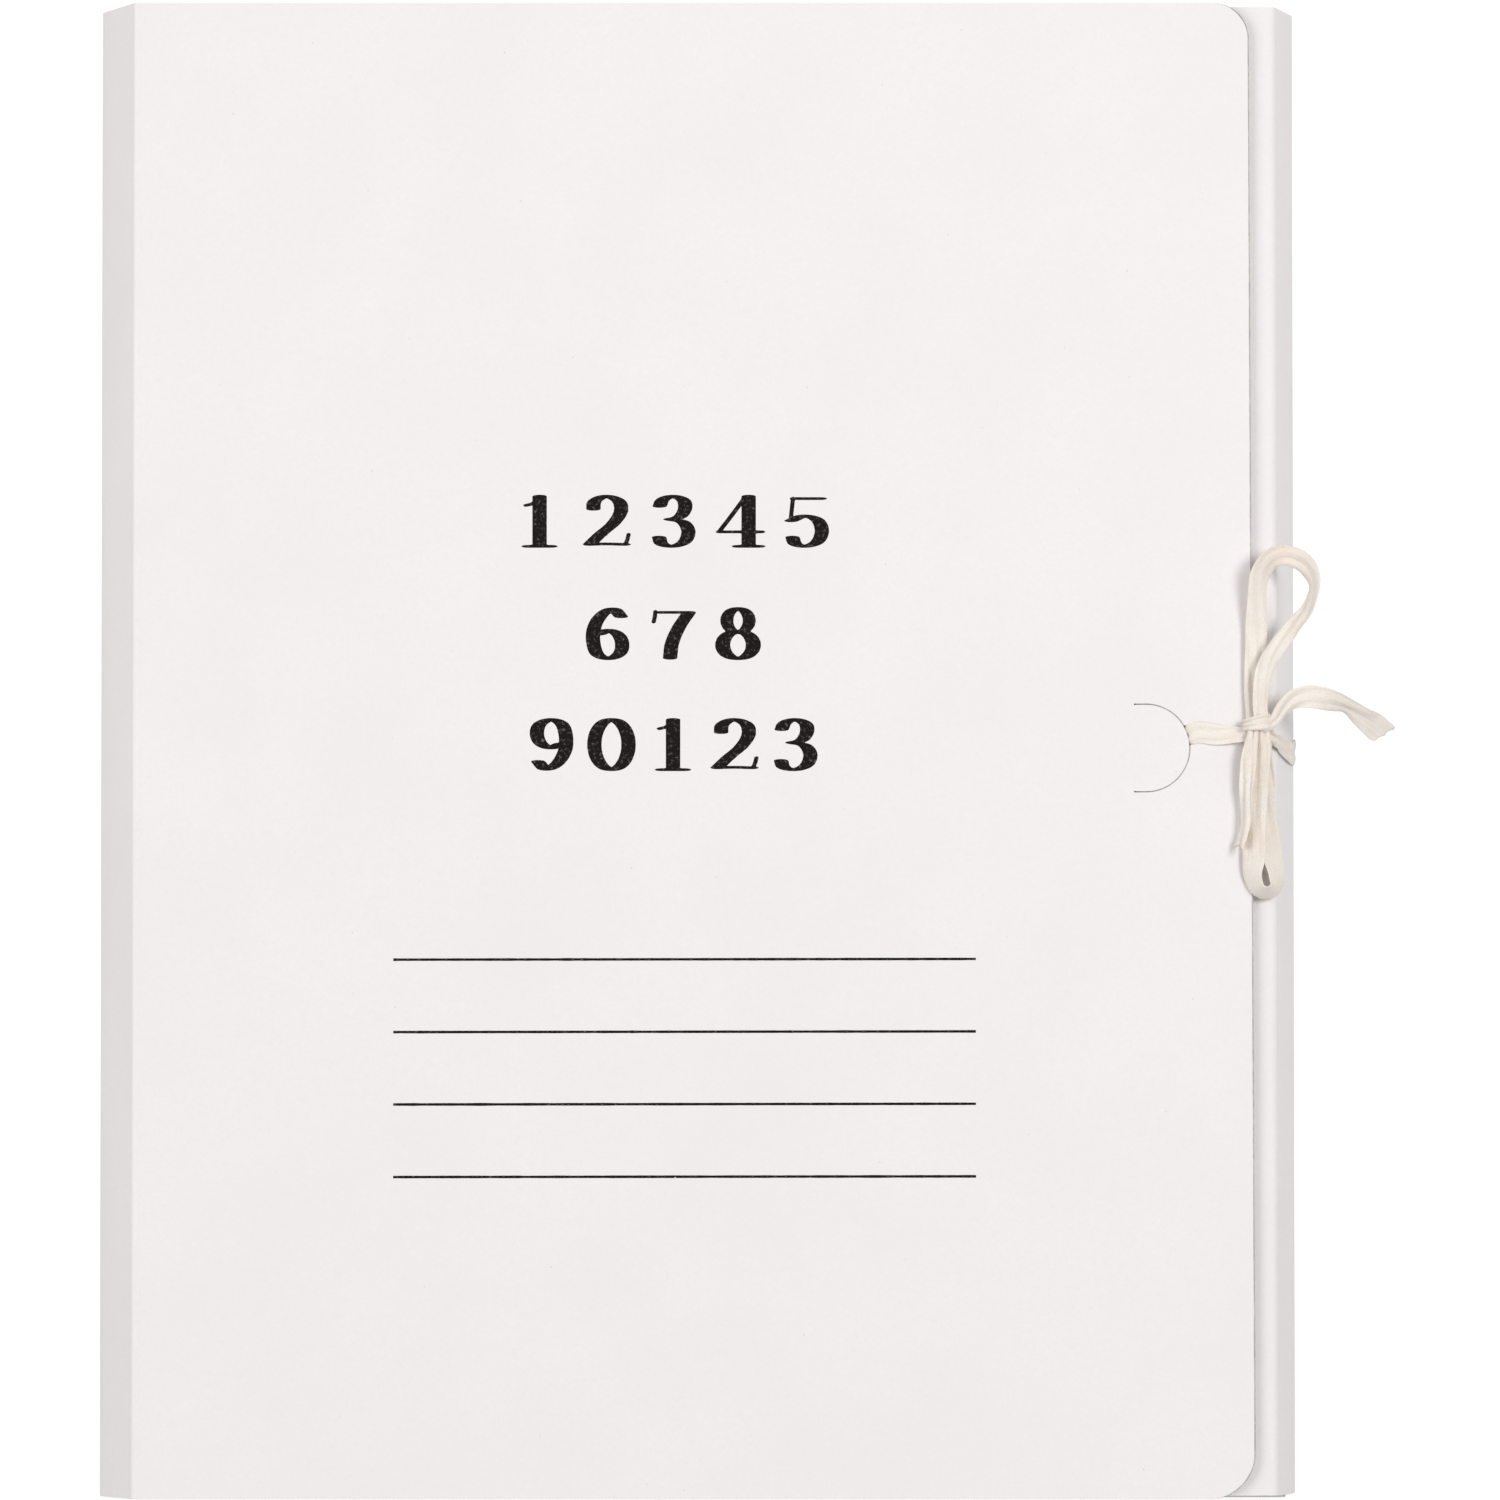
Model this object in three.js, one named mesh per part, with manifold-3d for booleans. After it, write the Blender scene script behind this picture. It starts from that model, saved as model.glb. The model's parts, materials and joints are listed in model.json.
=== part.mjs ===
// A tie file folder of white board: one folded sheet with a front cover, spine, back cover and three
// box flaps, shut by two cotton tapes that come out of half-moon slots and are tied in a bow.
// Millimetres. The folder lies on its back cover: +X to the fore-edge, +Y to its head, +Z up.
import * as THREE from "three";
import { mergeVertices } from "three/addons/utils/BufferGeometryUtils.js";
import Module from "manifold-3d";

const wasm = await Module();
wasm.setup();

// The folded sheet
const board = 0.5; // thickness of the board
const folderHeight = 310; // head to tail
const backWidth = 248.8; // spine crease to fore-edge crease
const boxDepth = 19.75; // middle of the back board to middle of the front board
const spineLean = 7.8; // how far the spine tips in over the back cover
const coverReveal = 9.6; // how far the front cover stops short of the fore-edge crease
const coverWidth = backWidth - spineLean - coverReveal; // spine crease to free edge
const coverSkew = 0.8; // the free edge is this much wider at the tail than at the head
const headCornerRadius = 7.5;
const tailCornerRadius = 9.5;
const creaseGap = 0.2; // clearance of each panel from its crease, past what the fold needs

// The three flaps
const coverToFlap = 1.3; // room between the front cover and the fore-edge flap for the glued tape
const flapToFlap = 0.3; // clearance between the flaps that lie on each other
const foreEdgeLean = 4.8; // how far the fore-edge wall tips in
const foreEndInset = 0.65; // fore-edge wall and flap are this much shorter than the folder at each end
const foreFlapDepth = 65;
const foreFlapShoulder = 14; // stretch of the flap's end that is square to its crease
const foreFlapTaper = 16; // how far each end draws in by the free edge
const endLean = 3; // how far the head and tail walls tip in
const endFlapDepth = 52;
const endFlapMitre = 52; // how far each end draws in by the free edge
const endFlapShoulder = 1.2;
const cornerClearance = 1.8; // between the head and tail walls and the walls beside them
const flapCornerRadius = 8;

// The half-moon slots
const slotRadius = 9.1; // middle of the cut
const slotLead = 2.3; // straight stretch at each end of the arc
const slotCut = 0.25; // width of the cut
const slotChordGap = 0.3; // clearance where the tongue bends
const slotHeight = 0.2; // slot centre above the middle of the folder
const frontSlotInset = 12.8; // tip of the slot to the free edge of the front cover
const backSlotInset = 22; // tip of the slot to the fore-edge crease
const frontTapeTurn = 17; // degrees by which the front tape leaves its slot off the middle
const backTapeTurn = 0;
const passageDepth = 1.7; // how far the cut is opened where the tape goes through

// The tapes
const tapeWidth = 5.3;
const tapeThickness = 0.45;
const tapeClearance = 0.15; // tape to board
const passageClearance = 0.2; // tape edge to the side of the opened cut
const passageBend = 0.5; // stretch over which the tape climbs through the opened cut
const passageEase = 0.1; // how far it has left the level before and after
const anchorLength = 26; // tape glued inside the cover
const patchLength = 17;
const patchWidth = 16;
const patchThickness = 0.2;
const patchCornerRadius = 2;
const jointGap = 0.3; // between the ends of two lengths of tape
const wrapStart = 1.6; // tape on the fore-edge wall starts this far up from the lower crease
const wrapShort = 1.6; // and stops this far short of the upper one, where the next length starts

// The knot
const knotOverhang = 1.1; // knot centre past the free edge of the front cover
const knotHeight = 5.2; // knot centre above the middle of the folder
const knotRise = 2.5; // knot centre above the front cover's face
const knotLength = 4;
const knotRadius = 2.3;
const knotFlattening = 0.9; // height of the knot as a share of its width
const knotTurns = 3; // ridges that the wound tape makes
const knotRidge = 0.07; // their height as a share of the radius

const degree = Math.PI / 180;

// Heights of the middle of each board above the surface that the folder lies on
const backLevel = board / 2;
const coverLevel = backLevel + boxDepth;
const foreFlapLevel = coverLevel - board - coverToFlap;
const endFlapLevel = foreFlapLevel - board - flapToFlap;
const coverFace = coverLevel + board / 2;

// Each leaning panel: the angle that it makes with the back cover, and its width between creases
function leaningPanel(rise, lean) {
  return { angle: Math.atan2(rise, lean), width: Math.hypot(rise, lean), rise, lean };
}
const spine = leaningPanel(boxDepth, spineLean);
const foreWall = leaningPanel(foreFlapLevel - backLevel, foreEdgeLean);
const endWall = leaningPanel(endFlapLevel - backLevel, endLean);

// A board folded by an angle needs this much clear of its crease on each side
function setback(fold) {
  return (board / 2) * Math.tan(fold / 2) + creaseGap;
}

const boardWhite = new THREE.MeshStandardMaterial({ color: "#f1eeec", roughness: 0.88, metalness: 0 });
const tapeCotton = new THREE.MeshStandardMaterial({ color: "#f3ebdd", roughness: 0.96, metalness: 0 });
const patchPaper = new THREE.MeshStandardMaterial({ color: "#eeeae3", roughness: 0.9, metalness: 0 });

// Manifold solid of a closed geometry, and back
function toSolid(geometry) {
  const bare = new THREE.BufferGeometry();
  const source = geometry.index ? geometry.toNonIndexed() : geometry;
  bare.setAttribute("position", source.getAttribute("position").clone());
  const merged = mergeVertices(bare, 1e-4);
  return new wasm.Manifold(
    new wasm.Mesh({
      numProp: 3,
      vertProperties: merged.attributes.position.array,
      triVerts: new Uint32Array(merged.index.array),
    }),
  );
}

function toGeometry(solid) {
  const mesh = solid.getMesh();
  const geometry = new THREE.BufferGeometry();
  geometry.setAttribute("position", new THREE.BufferAttribute(mesh.vertProperties, 3));
  geometry.setIndex(new THREE.BufferAttribute(mesh.triVerts, 1));
  return geometry;
}

function addMesh(parent, name, geometry, material) {
  const mesh = new THREE.Mesh(geometry, material.clone());
  mesh.name = name;
  parent.add(mesh);
  return mesh;
}

// Closed outline through corners [x, y, radius], counter-clockwise, each rounded by an arc
function roundedOutline(corners) {
  const shape = new THREE.Shape();
  corners.forEach(([x, y, radius], i) => {
    const corner = new THREE.Vector2(x, y);
    if (!radius) {
      if (i === 0) shape.moveTo(x, y);
      else shape.lineTo(x, y);
      return;
    }
    const before = corners[(i + corners.length - 1) % corners.length];
    const after = corners[(i + 1) % corners.length];
    const inward = new THREE.Vector2(before[0], before[1]).sub(corner).normalize();
    const outward = new THREE.Vector2(after[0], after[1]).sub(corner).normalize();
    const half = Math.acos(inward.dot(outward)) / 2;
    const middle = inward.clone().add(outward).normalize();
    const centre = corner.clone().addScaledVector(middle, radius / Math.sin(half));
    const start = corner.clone().addScaledVector(inward, radius / Math.tan(half)).sub(centre);
    const end = corner.clone().addScaledVector(outward, radius / Math.tan(half)).sub(centre);
    if (i === 0) shape.moveTo(centre.x + start.x, centre.y + start.y);
    else shape.lineTo(centre.x + start.x, centre.y + start.y);
    shape.absarc(centre.x, centre.y, radius, start.angle(), end.angle(), false);
  });
  shape.closePath();
  return shape;
}

// Board cut to an outline, its middle on the local XY plane
function boardOf(shape) {
  const geometry = new THREE.ExtrudeGeometry(shape, {
    depth: board,
    bevelEnabled: false,
    curveSegments: 16,
  });
  return geometry.translate(0, 0, -board / 2);
}

// Half-moon of a slot about its centre: straight leads, an arc, and the chord that closes it
function halfMoon(path, centreX, radius, chordX) {
  path.moveTo(chordX, slotHeight - radius);
  path.lineTo(centreX, slotHeight - radius);
  path.absarc(centreX, slotHeight, radius, -Math.PI / 2, Math.PI / 2, false);
  path.lineTo(chordX, slotHeight + radius);
  path.closePath();
  return path;
}

// Hole in a cover: the half-moon with its cut opened outwards where the tape goes through
function slotHole(centreX, turn) {
  const radius = slotRadius + slotCut / 2;
  const opened = slotRadius + passageDepth;
  const half = tapeWidth / 2 + passageClearance;
  const middle = turn * degree;
  const inner = Math.asin(half / radius);
  const outer = Math.asin(half / opened);
  const chordX = centreX - slotLead - slotChordGap / 2;
  const hole = new THREE.Path();
  hole.moveTo(chordX, slotHeight - radius);
  hole.lineTo(centreX, slotHeight - radius);
  hole.absarc(centreX, slotHeight, radius, -Math.PI / 2, middle - inner, false);
  hole.absarc(centreX, slotHeight, opened, middle - outer, middle + outer, false);
  hole.absarc(centreX, slotHeight, radius, middle + inner, Math.PI / 2, false);
  hole.lineTo(chordX, slotHeight + radius);
  hole.closePath();
  return hole;
}

// Tongue that the slot leaves, bending along its chord
function slotTongue(centreX) {
  const chordX = centreX - slotLead + slotChordGap / 2;
  return boardOf(halfMoon(new THREE.Shape(), centreX, slotRadius - slotCut / 2, chordX));
}

// Drawn-in tape gets thicker by as much as it gets narrower
function thicknessAt(width) {
  return (tapeThickness * tapeWidth) / width;
}

// Solid tape through stations [x, y, z, tilt, width]. A station's width runs level and square to the
// tape's way at tilt 0, and tips about that way by tilt degrees. The section is a flat bar with its
// four corners cut.
function tapeSolid(stations, spacing, levelOf) {
  const curve = new THREE.CatmullRomCurve3(
    stations.map(([x, y, z]) => new THREE.Vector3(x, y, z)),
    false,
    "centripetal",
  );
  const steps = Math.max(2, Math.round(curve.getLength() / spacing));
  const rings = [];
  for (let i = 0; i <= steps; i++) {
    const t = curve.getUtoTmapping(i / steps);
    const place = t * (stations.length - 1);
    const first = Math.min(Math.floor(place), stations.length - 2);
    const share = place - first;
    const tilt = THREE.MathUtils.lerp(stations[first][3], stations[first + 1][3], share) * degree;
    const width = THREE.MathUtils.lerp(stations[first][4], stations[first + 1][4], share);
    const thickness = thicknessAt(width);
    const way = curve.getTangent(t);
    const level = levelOf(way);
    const across = level.clone().applyAxisAngle(way, tilt);
    const up = new THREE.Vector3().crossVectors(across, way);
    const centre = curve.getPoint(t);
    const halfWidth = width / 2;
    const halfThickness = thickness / 2;
    const cut = thickness / 4;
    const section = [
      [halfWidth, -halfThickness + cut],
      [halfWidth, halfThickness - cut],
      [halfWidth - cut, halfThickness],
      [-halfWidth + cut, halfThickness],
      [-halfWidth, halfThickness - cut],
      [-halfWidth, -halfThickness + cut],
      [-halfWidth + cut, -halfThickness],
      [halfWidth - cut, -halfThickness],
    ];
    rings.push(
      section.map(([a, b]) => centre.clone().addScaledVector(across, a).addScaledVector(up, b)),
    );
  }
  return loft(rings);
}

// Closed surface through rings of equally many points
function loft(rings) {
  const sides = rings[0].length;
  const positions = rings.flat().flatMap((point) => [point.x, point.y, point.z]);
  const faces = [];
  for (let ring = 0; ring < rings.length - 1; ring++) {
    for (let side = 0; side < sides; side++) {
      const a = ring * sides + side;
      const b = ring * sides + ((side + 1) % sides);
      faces.push(a, a + sides, b, b, a + sides, b + sides);
    }
  }
  const last = (rings.length - 1) * sides;
  for (let side = 1; side < sides - 1; side++) {
    faces.push(0, side, side + 1);
    faces.push(last, last + side + 1, last + side);
  }
  const geometry = new THREE.BufferGeometry();
  geometry.setAttribute("position", new THREE.Float32BufferAttribute(positions, 3));
  geometry.setIndex(faces);
  return geometry;
}

// Level direction across a tape that lies on a surface, and across one that goes round the fore-edge
function acrossLevel(way) {
  return new THREE.Vector3().crossVectors(way, new THREE.Vector3(0, 0, 1)).normalize();
}
function acrossFolder(way) {
  const side = new THREE.Vector3(0, -1, 0);
  return side.addScaledVector(way, -side.dot(way)).normalize();
}

const folder = new THREE.Group();

// Back cover, its slot and the channel pressed into it where the tape runs under it
const backSlotX = backWidth / 2 - backSlotInset - slotRadius;
const channelDepth = tapeThickness + 2 * tapeClearance;
const channelHalf = tapeWidth / 2 + passageClearance;

// Bar along X with a section that narrows upwards, for the channel and its raised back
function channelBar(fromX, toX, half, low, high) {
  const draft = (high - low) / 2;
  const section = new THREE.Shape([
    new THREE.Vector2(-half - draft, low),
    new THREE.Vector2(half + draft, low),
    new THREE.Vector2(half, high),
    new THREE.Vector2(-half, high),
  ]);
  const bar = new THREE.ExtrudeGeometry(section, { depth: toX - fromX, bevelEnabled: false });
  bar.rotateX(Math.PI / 2).rotateZ(Math.PI / 2);
  return bar.translate(fromX, slotHeight, 0);
}

function makeBackCover() {
  const left = -backWidth / 2 + setback(Math.PI - spine.angle);
  const right = backWidth / 2 - setback(Math.PI - foreWall.angle);
  const end = folderHeight / 2 - setback(Math.PI - endWall.angle);
  const outline = roundedOutline([
    [left, -end, 0],
    [right, -end, 0],
    [right, end, 0],
    [left, end, 0],
  ]);
  outline.holes.push(slotHole(backSlotX, backTapeTurn));
  const plate = toSolid(boardOf(outline).translate(0, 0, backLevel));
  const channelStart = backSlotX + slotRadius + passageDepth;
  const raised = channelBar(channelStart, right, channelHalf + board, board / 2, board + channelDepth);
  const hollow = channelBar(channelStart - board, right + board, channelHalf, -board, channelDepth);
  addMesh(folder, "back_cover", toGeometry(plate.add(toSolid(raised)).subtract(toSolid(hollow))), boardWhite);
  const tongue = slotTongue(backSlotX).translate(0, 0, backLevel);
  addMesh(folder, "back_slot_tab", tongue, boardWhite);
}

// Spine panel and front cover, each in a group that turns about its crease
const spineCrease = new THREE.Group();
spineCrease.position.set(-backWidth / 2, 0, backLevel);
spineCrease.rotation.y = -spine.angle;
folder.add(spineCrease);

const coverCrease = new THREE.Group();
coverCrease.position.set(spine.width, 0, 0);
coverCrease.rotation.y = spine.angle;
spineCrease.add(coverCrease);

const frontSlotX = coverWidth - frontSlotInset - slotRadius;

function makeSpineAndCover() {
  const half = folderHeight / 2;
  const spineStart = setback(Math.PI - spine.angle);
  const coverStart = setback(spine.angle);
  const spineOutline = roundedOutline([
    [spineStart, -half, 0],
    [spine.width - coverStart, -half, 0],
    [spine.width - coverStart, half, 0],
    [spineStart, half, 0],
  ]);
  addMesh(spineCrease, "spine_panel", boardOf(spineOutline), boardWhite);
  const coverOutline = roundedOutline([
    [coverStart, -half, 0],
    [coverWidth + coverSkew / 2, -half, tailCornerRadius],
    [coverWidth - coverSkew / 2, half, headCornerRadius],
    [coverStart, half, 0],
  ]);
  coverOutline.holes.push(slotHole(frontSlotX, frontTapeTurn));
  addMesh(coverCrease, "front_cover", boardOf(coverOutline), boardWhite);
  addMesh(coverCrease, "front_slot_tab", slotTongue(frontSlotX), boardWhite);
}

// A wall that stands on an edge of the back cover and the flap that it carries. Local X runs out
// from the edge and local Y along it; wall and flap outlines are given from their own creases.
function makeWallAndFlap(name, crease, turn, wall, wallOutline, flapOutline) {
  const edge = new THREE.Group();
  edge.position.copy(crease);
  edge.rotation.z = turn;
  folder.add(edge);
  const wallCrease = new THREE.Group();
  wallCrease.rotation.y = -(Math.PI - wall.angle);
  edge.add(wallCrease);
  addMesh(wallCrease, name + "_wall", boardOf(roundedOutline(wallOutline)), boardWhite);
  const flapCrease = new THREE.Group();
  flapCrease.position.set(wall.width, 0, 0);
  flapCrease.rotation.y = -wall.angle;
  wallCrease.add(flapCrease);
  addMesh(flapCrease, name + "_flap", boardOf(roundedOutline(flapOutline)), boardWhite);
}

function makeForeEdge() {
  const half = folderHeight / 2 - foreEndInset;
  const wallStart = setback(Math.PI - foreWall.angle);
  const flapStart = setback(foreWall.angle);
  const wallEnd = foreWall.width - flapStart;
  const crease = new THREE.Vector3(backWidth / 2, 0, backLevel);
  makeWallAndFlap(
    "fore_edge",
    crease,
    0,
    foreWall,
    [
      [wallStart, -half, 0],
      [wallEnd, -half, 0],
      [wallEnd, half, 0],
      [wallStart, half, 0],
    ],
    [
      [flapStart, -half, 0],
      [foreFlapShoulder, -half, 0],
      [foreFlapDepth, -half + foreFlapTaper, flapCornerRadius],
      [foreFlapDepth, half - foreFlapTaper, flapCornerRadius],
      [foreFlapShoulder, half, 0],
      [flapStart, half, 0],
    ],
  );
}

// Head and tail walls follow the lean of the spine and of the fore-edge wall beside them.
// Their local Y runs to the spine at the head and to the fore-edge at the tail.
function makeEnd(name, direction) {
  const wallStart = setback(Math.PI - endWall.angle);
  const flapStart = setback(endWall.angle);
  const wallEnd = endWall.width - flapStart;
  const rise = Math.sin(endWall.angle);
  const spineSide = (along) =>
    backWidth / 2 - cornerClearance - (along * rise * spine.lean) / spine.rise;
  const foreSide = (along) =>
    backWidth / 2 - cornerClearance - (along * rise * foreWall.lean) / foreWall.rise;
  const [plusSide, minusSide] = direction > 0 ? [spineSide, foreSide] : [foreSide, spineSide];
  const plusEnd = plusSide(endWall.width) - endFlapShoulder;
  const minusEnd = minusSide(endWall.width) - endFlapShoulder;
  makeWallAndFlap(
    name,
    new THREE.Vector3(0, (direction * folderHeight) / 2, backLevel),
    (direction * Math.PI) / 2,
    endWall,
    [
      [wallStart, -minusSide(wallStart), 0],
      [wallEnd, -minusSide(wallEnd), 0],
      [wallEnd, plusSide(wallEnd), 0],
      [wallStart, plusSide(wallStart), 0],
    ],
    [
      [flapStart, -minusEnd, 0],
      [endFlapDepth, -minusEnd + endFlapMitre, flapCornerRadius],
      [endFlapDepth, plusEnd - endFlapMitre, flapCornerRadius],
      [flapStart, plusEnd, 0],
    ],
  );
}

// Glued end of a tape and the paper patch over it, along local X from the slot's centre.
// inward is the way from the cover's face to the inside of the folder.
function makeAnchor(parent, prefix, centreX, turn, face, inward) {
  const slot = new THREE.Group();
  slot.position.set(centreX, slotHeight, face);
  slot.rotation.z = turn * degree;
  parent.add(slot);
  const anchorEnd = slotRadius - slotCut / 2 - jointGap;
  const tapeLevel = inward * (tapeClearance + tapeThickness / 2);
  const anchor = tapeSolid(
    [
      [anchorEnd - anchorLength, 0, tapeLevel, 0, tapeWidth],
      [anchorEnd, 0, tapeLevel, 0, tapeWidth],
    ],
    anchorLength / 4,
    acrossLevel,
  );
  addMesh(slot, prefix + "_tie_anchor", anchor, tapeCotton);
  const patchMiddle = -slotLead - jointGap - patchLength / 2;
  const patchLow = inward * (2 * tapeClearance + tapeThickness) - (inward < 0 ? patchThickness : 0);
  const halfLength = patchLength / 2;
  const halfWidth = patchWidth / 2;
  const outline = roundedOutline([
    [patchMiddle - halfLength, -halfWidth, patchCornerRadius],
    [patchMiddle + halfLength, -halfWidth, patchCornerRadius],
    [patchMiddle + halfLength, halfWidth, patchCornerRadius],
    [patchMiddle - halfLength, halfWidth, patchCornerRadius],
  ]);
  const patch = new THREE.ExtrudeGeometry(outline, {
    depth: patchThickness,
    bevelEnabled: false,
    curveSegments: 4,
  });
  addMesh(slot, prefix + "_anchor_patch", patch.translate(0, 0, patchLow), patchPaper);
}

// Bow: every route is given from the centre of the knot, and what leaves the knot starts clear of it
const coverEdgeX = -backWidth / 2 + spine.lean + coverWidth;
const knot = new THREE.Vector3(coverEdgeX + knotOverhang, knotHeight, coverFace + knotRise);
const bow = new THREE.Group();
bow.position.copy(knot);
folder.add(bow);

const knotEnd = knotLength / 2 + jointGap;
const knotSide = knotRadius + jointGap;

const upperLoopRoute = [
  [-0.9, knotEnd, -0.95, 0, 3.2],
  [-0.8, 6.5, -1.2, 0, 3.8],
  [-0.4, 12.5, -1.5, 8, 4.6],
  [-0.2, 20.0, -1.2, 18, 4.7],
  [0.0, 26.5, 0.0, 34, 4.9],
  [0.6, 31.2, 1.6, 42, 5.1],
  [2.6, 34.2, 3.2, 44, 5.3],
  [5.2, 35.2, 4.2, 38, 5.3],
  [8.0, 34.4, 4.9, 42, 5.3],
  [10.4, 32.2, 5.0, 56, 5.3],
  [11.6, 28.4, 4.6, 66, 5.2],
  [10.2, 23.7, 3.9, 62, 5.0],
  [6.8, 19.4, 3.2, 44, 4.6],
  [3.9, 15.8, 2.6, 30, 4.2],
  [1.5, 11.4, 1.9, 16, 3.7],
  [0.6, 7.0, 1.4, 6, 3.2],
  [0.5, knotEnd, 1.0, 0, 3.0],
];
const lowerLoopRoute = [
  [1.0, -knotEnd, 0.1, 0, 2.7],
  [0.9, -5.3, 0.1, 2, 3.6],
  [0.2, -11.1, -0.1, 6, 4.2],
  [-0.3, -17.0, -0.1, 14, 4.5],
  [-0.7, -22.8, 0.0, 28, 5.0],
  [-0.9, -27.6, 0.3, 40, 5.3],
  [-1.1, -31.2, 0.4, 56, 5.3],
  [-0.1, -33.9, 0.3, 60, 5.3],
  [1.7, -34.7, 0.1, 60, 5.3],
  [3.4, -33.6, -0.2, 60, 5.3],
  [3.7, -31.0, -0.5, 54, 5.3],
  [2.9, -26.8, -1.0, 42, 5.3],
  [1.9, -20.0, -1.6, 12, 4.7],
  [1.7, -14.0, -2.0, 4, 4.4],
  [1.4, -8.2, -1.9, 0, 3.7],
  [0.9, -knotEnd, -1.3, 0, 3.0],
];
const rightTailRoute = [
  [knotSide + 0.9, 0.7, 0.4, 20, 2.4],
  [5.2, 3.0, 0.9, 28, 3.4],
  [7.4, 4.8, 1.1, 22, 4.4],
  [9.9, 5.5, 0.9, 8, 4.8],
  [12.8, 5.3, 0.2, 4, 4.9],
  [16.0, 4.6, -0.9, 22, 4.9],
  [19.0, 3.6, -2.4, 42, 4.9],
  [21.7, 2.0, -4.2, 24, 5.1],
  [24.2, 0.2, -6.4, 4, 5.5],
  [26.6, -1.9, -8.8, 0, 5.7],
];
const lowerTailRoute = [
  [-1.0, -knotEnd, 1.15, 0, 2.4],
  [-1.9, -7.5, 1.2, 8, 3.4],
  [-2.3, -12.4, 1.0, 35, 3.4],
  [-2.5, -17.0, 0.7, 58, 3.4],
  [-3.0, -22.6, 0.4, 66, 3.4],
  [-4.0, -25.8, 0.2, 50, 3.2],
];

// Front tape as it nears the knot: its height is over the level at which it lies on the cover
const frontRunRoute = [
  [-8.8, -2.25, 0.1, 0, 4.6],
  [-5.6, -2.3, 0.4, -8, 4.1],
  [-knotSide, -2.2, 1.0, -10, 3.0],
];
// Back tape as it nears the knot
const backLeadRoute = [
  [4.5, -3.3, -2.85, 0, 2.9],
  [knotSide + 0.5, -1.95, -1.3, 0, 2.2],
];
// Back tape on the fore-edge wall: share of the way up, place towards the head of its slot, width
const wrapRoute = [
  [0, -0.5, 5.0],
  [0.34, -0.4, 4.4],
  [0.67, 0.1, 3.8],
  [1, 0.9, 3.3],
];
const routeSpacing = 2.2; // steps along the loops and tails
const runSpacing = 0.8; // and along the runs that bend sharply

function makeBow() {
  const profile = [];
  const rows = 14;
  for (let i = 0; i <= rows; i++) {
    const along = -1 + (2 * i) / rows;
    const ends = Math.sqrt(1 - Math.pow(Math.abs(along), 5));
    const ridge = 1 + knotRidge * Math.cos(knotTurns * Math.PI * along) * (1 - Math.abs(along));
    profile.push(new THREE.Vector2(knotRadius * ends * ridge, (along * knotLength) / 2));
  }
  profile[0].x = 0;
  profile[rows].x = 0;
  const wound = new THREE.LatheGeometry(profile, 18).scale(1, 1, knotFlattening);
  addMesh(bow, "bow_knot", toGeometry(toSolid(wound)), tapeCotton);
  addMesh(bow, "bow_upper_loop", tapeSolid(upperLoopRoute, routeSpacing, acrossLevel), tapeCotton);
  addMesh(bow, "bow_lower_loop", tapeSolid(lowerLoopRoute, routeSpacing, acrossLevel), tapeCotton);
  addMesh(bow, "bow_right_tail", tapeSolid(rightTailRoute, routeSpacing, acrossLevel), tapeCotton);
  addMesh(bow, "bow_lower_tail", tapeSolid(lowerTailRoute, routeSpacing, acrossLevel), tapeCotton);
}

// Front tape: up through its slot and along the cover to the knot
function makeFrontRun() {
  const slot = new THREE.Vector3(coverEdgeX - coverWidth + frontSlotX, slotHeight, 0);
  const turn = frontTapeTurn * degree;
  const under = coverLevel - board / 2 - tapeClearance - tapeThickness / 2;
  const over = coverFace + tapeClearance + tapeThickness / 2;
  const from = slotRadius - slotCut / 2;
  const at = (radius, z, tilt, width) => [
    slot.x + radius * Math.cos(turn),
    slot.y + radius * Math.sin(turn),
    z,
    tilt,
    width,
  ];
  const middle = from + passageDepth / 2;
  const route = [
    at(from, under, 0, tapeWidth),
    at(middle - passageBend, under + passageEase, 0, tapeWidth),
    at(middle, (under + over) / 2, 0, tapeWidth),
    at(middle + passageBend, over - passageEase / 2, 0, tapeWidth),
    at(from + passageDepth + passageBend, over, 0, tapeWidth),
    ...frontRunRoute.map(([x, y, lift, tilt, width]) => [knot.x + x, knot.y + y, over + lift, tilt, width]),
  ];
  addMesh(folder, "front_tie_run", tapeSolid(route, runSpacing, acrossLevel), tapeCotton);
}

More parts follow.
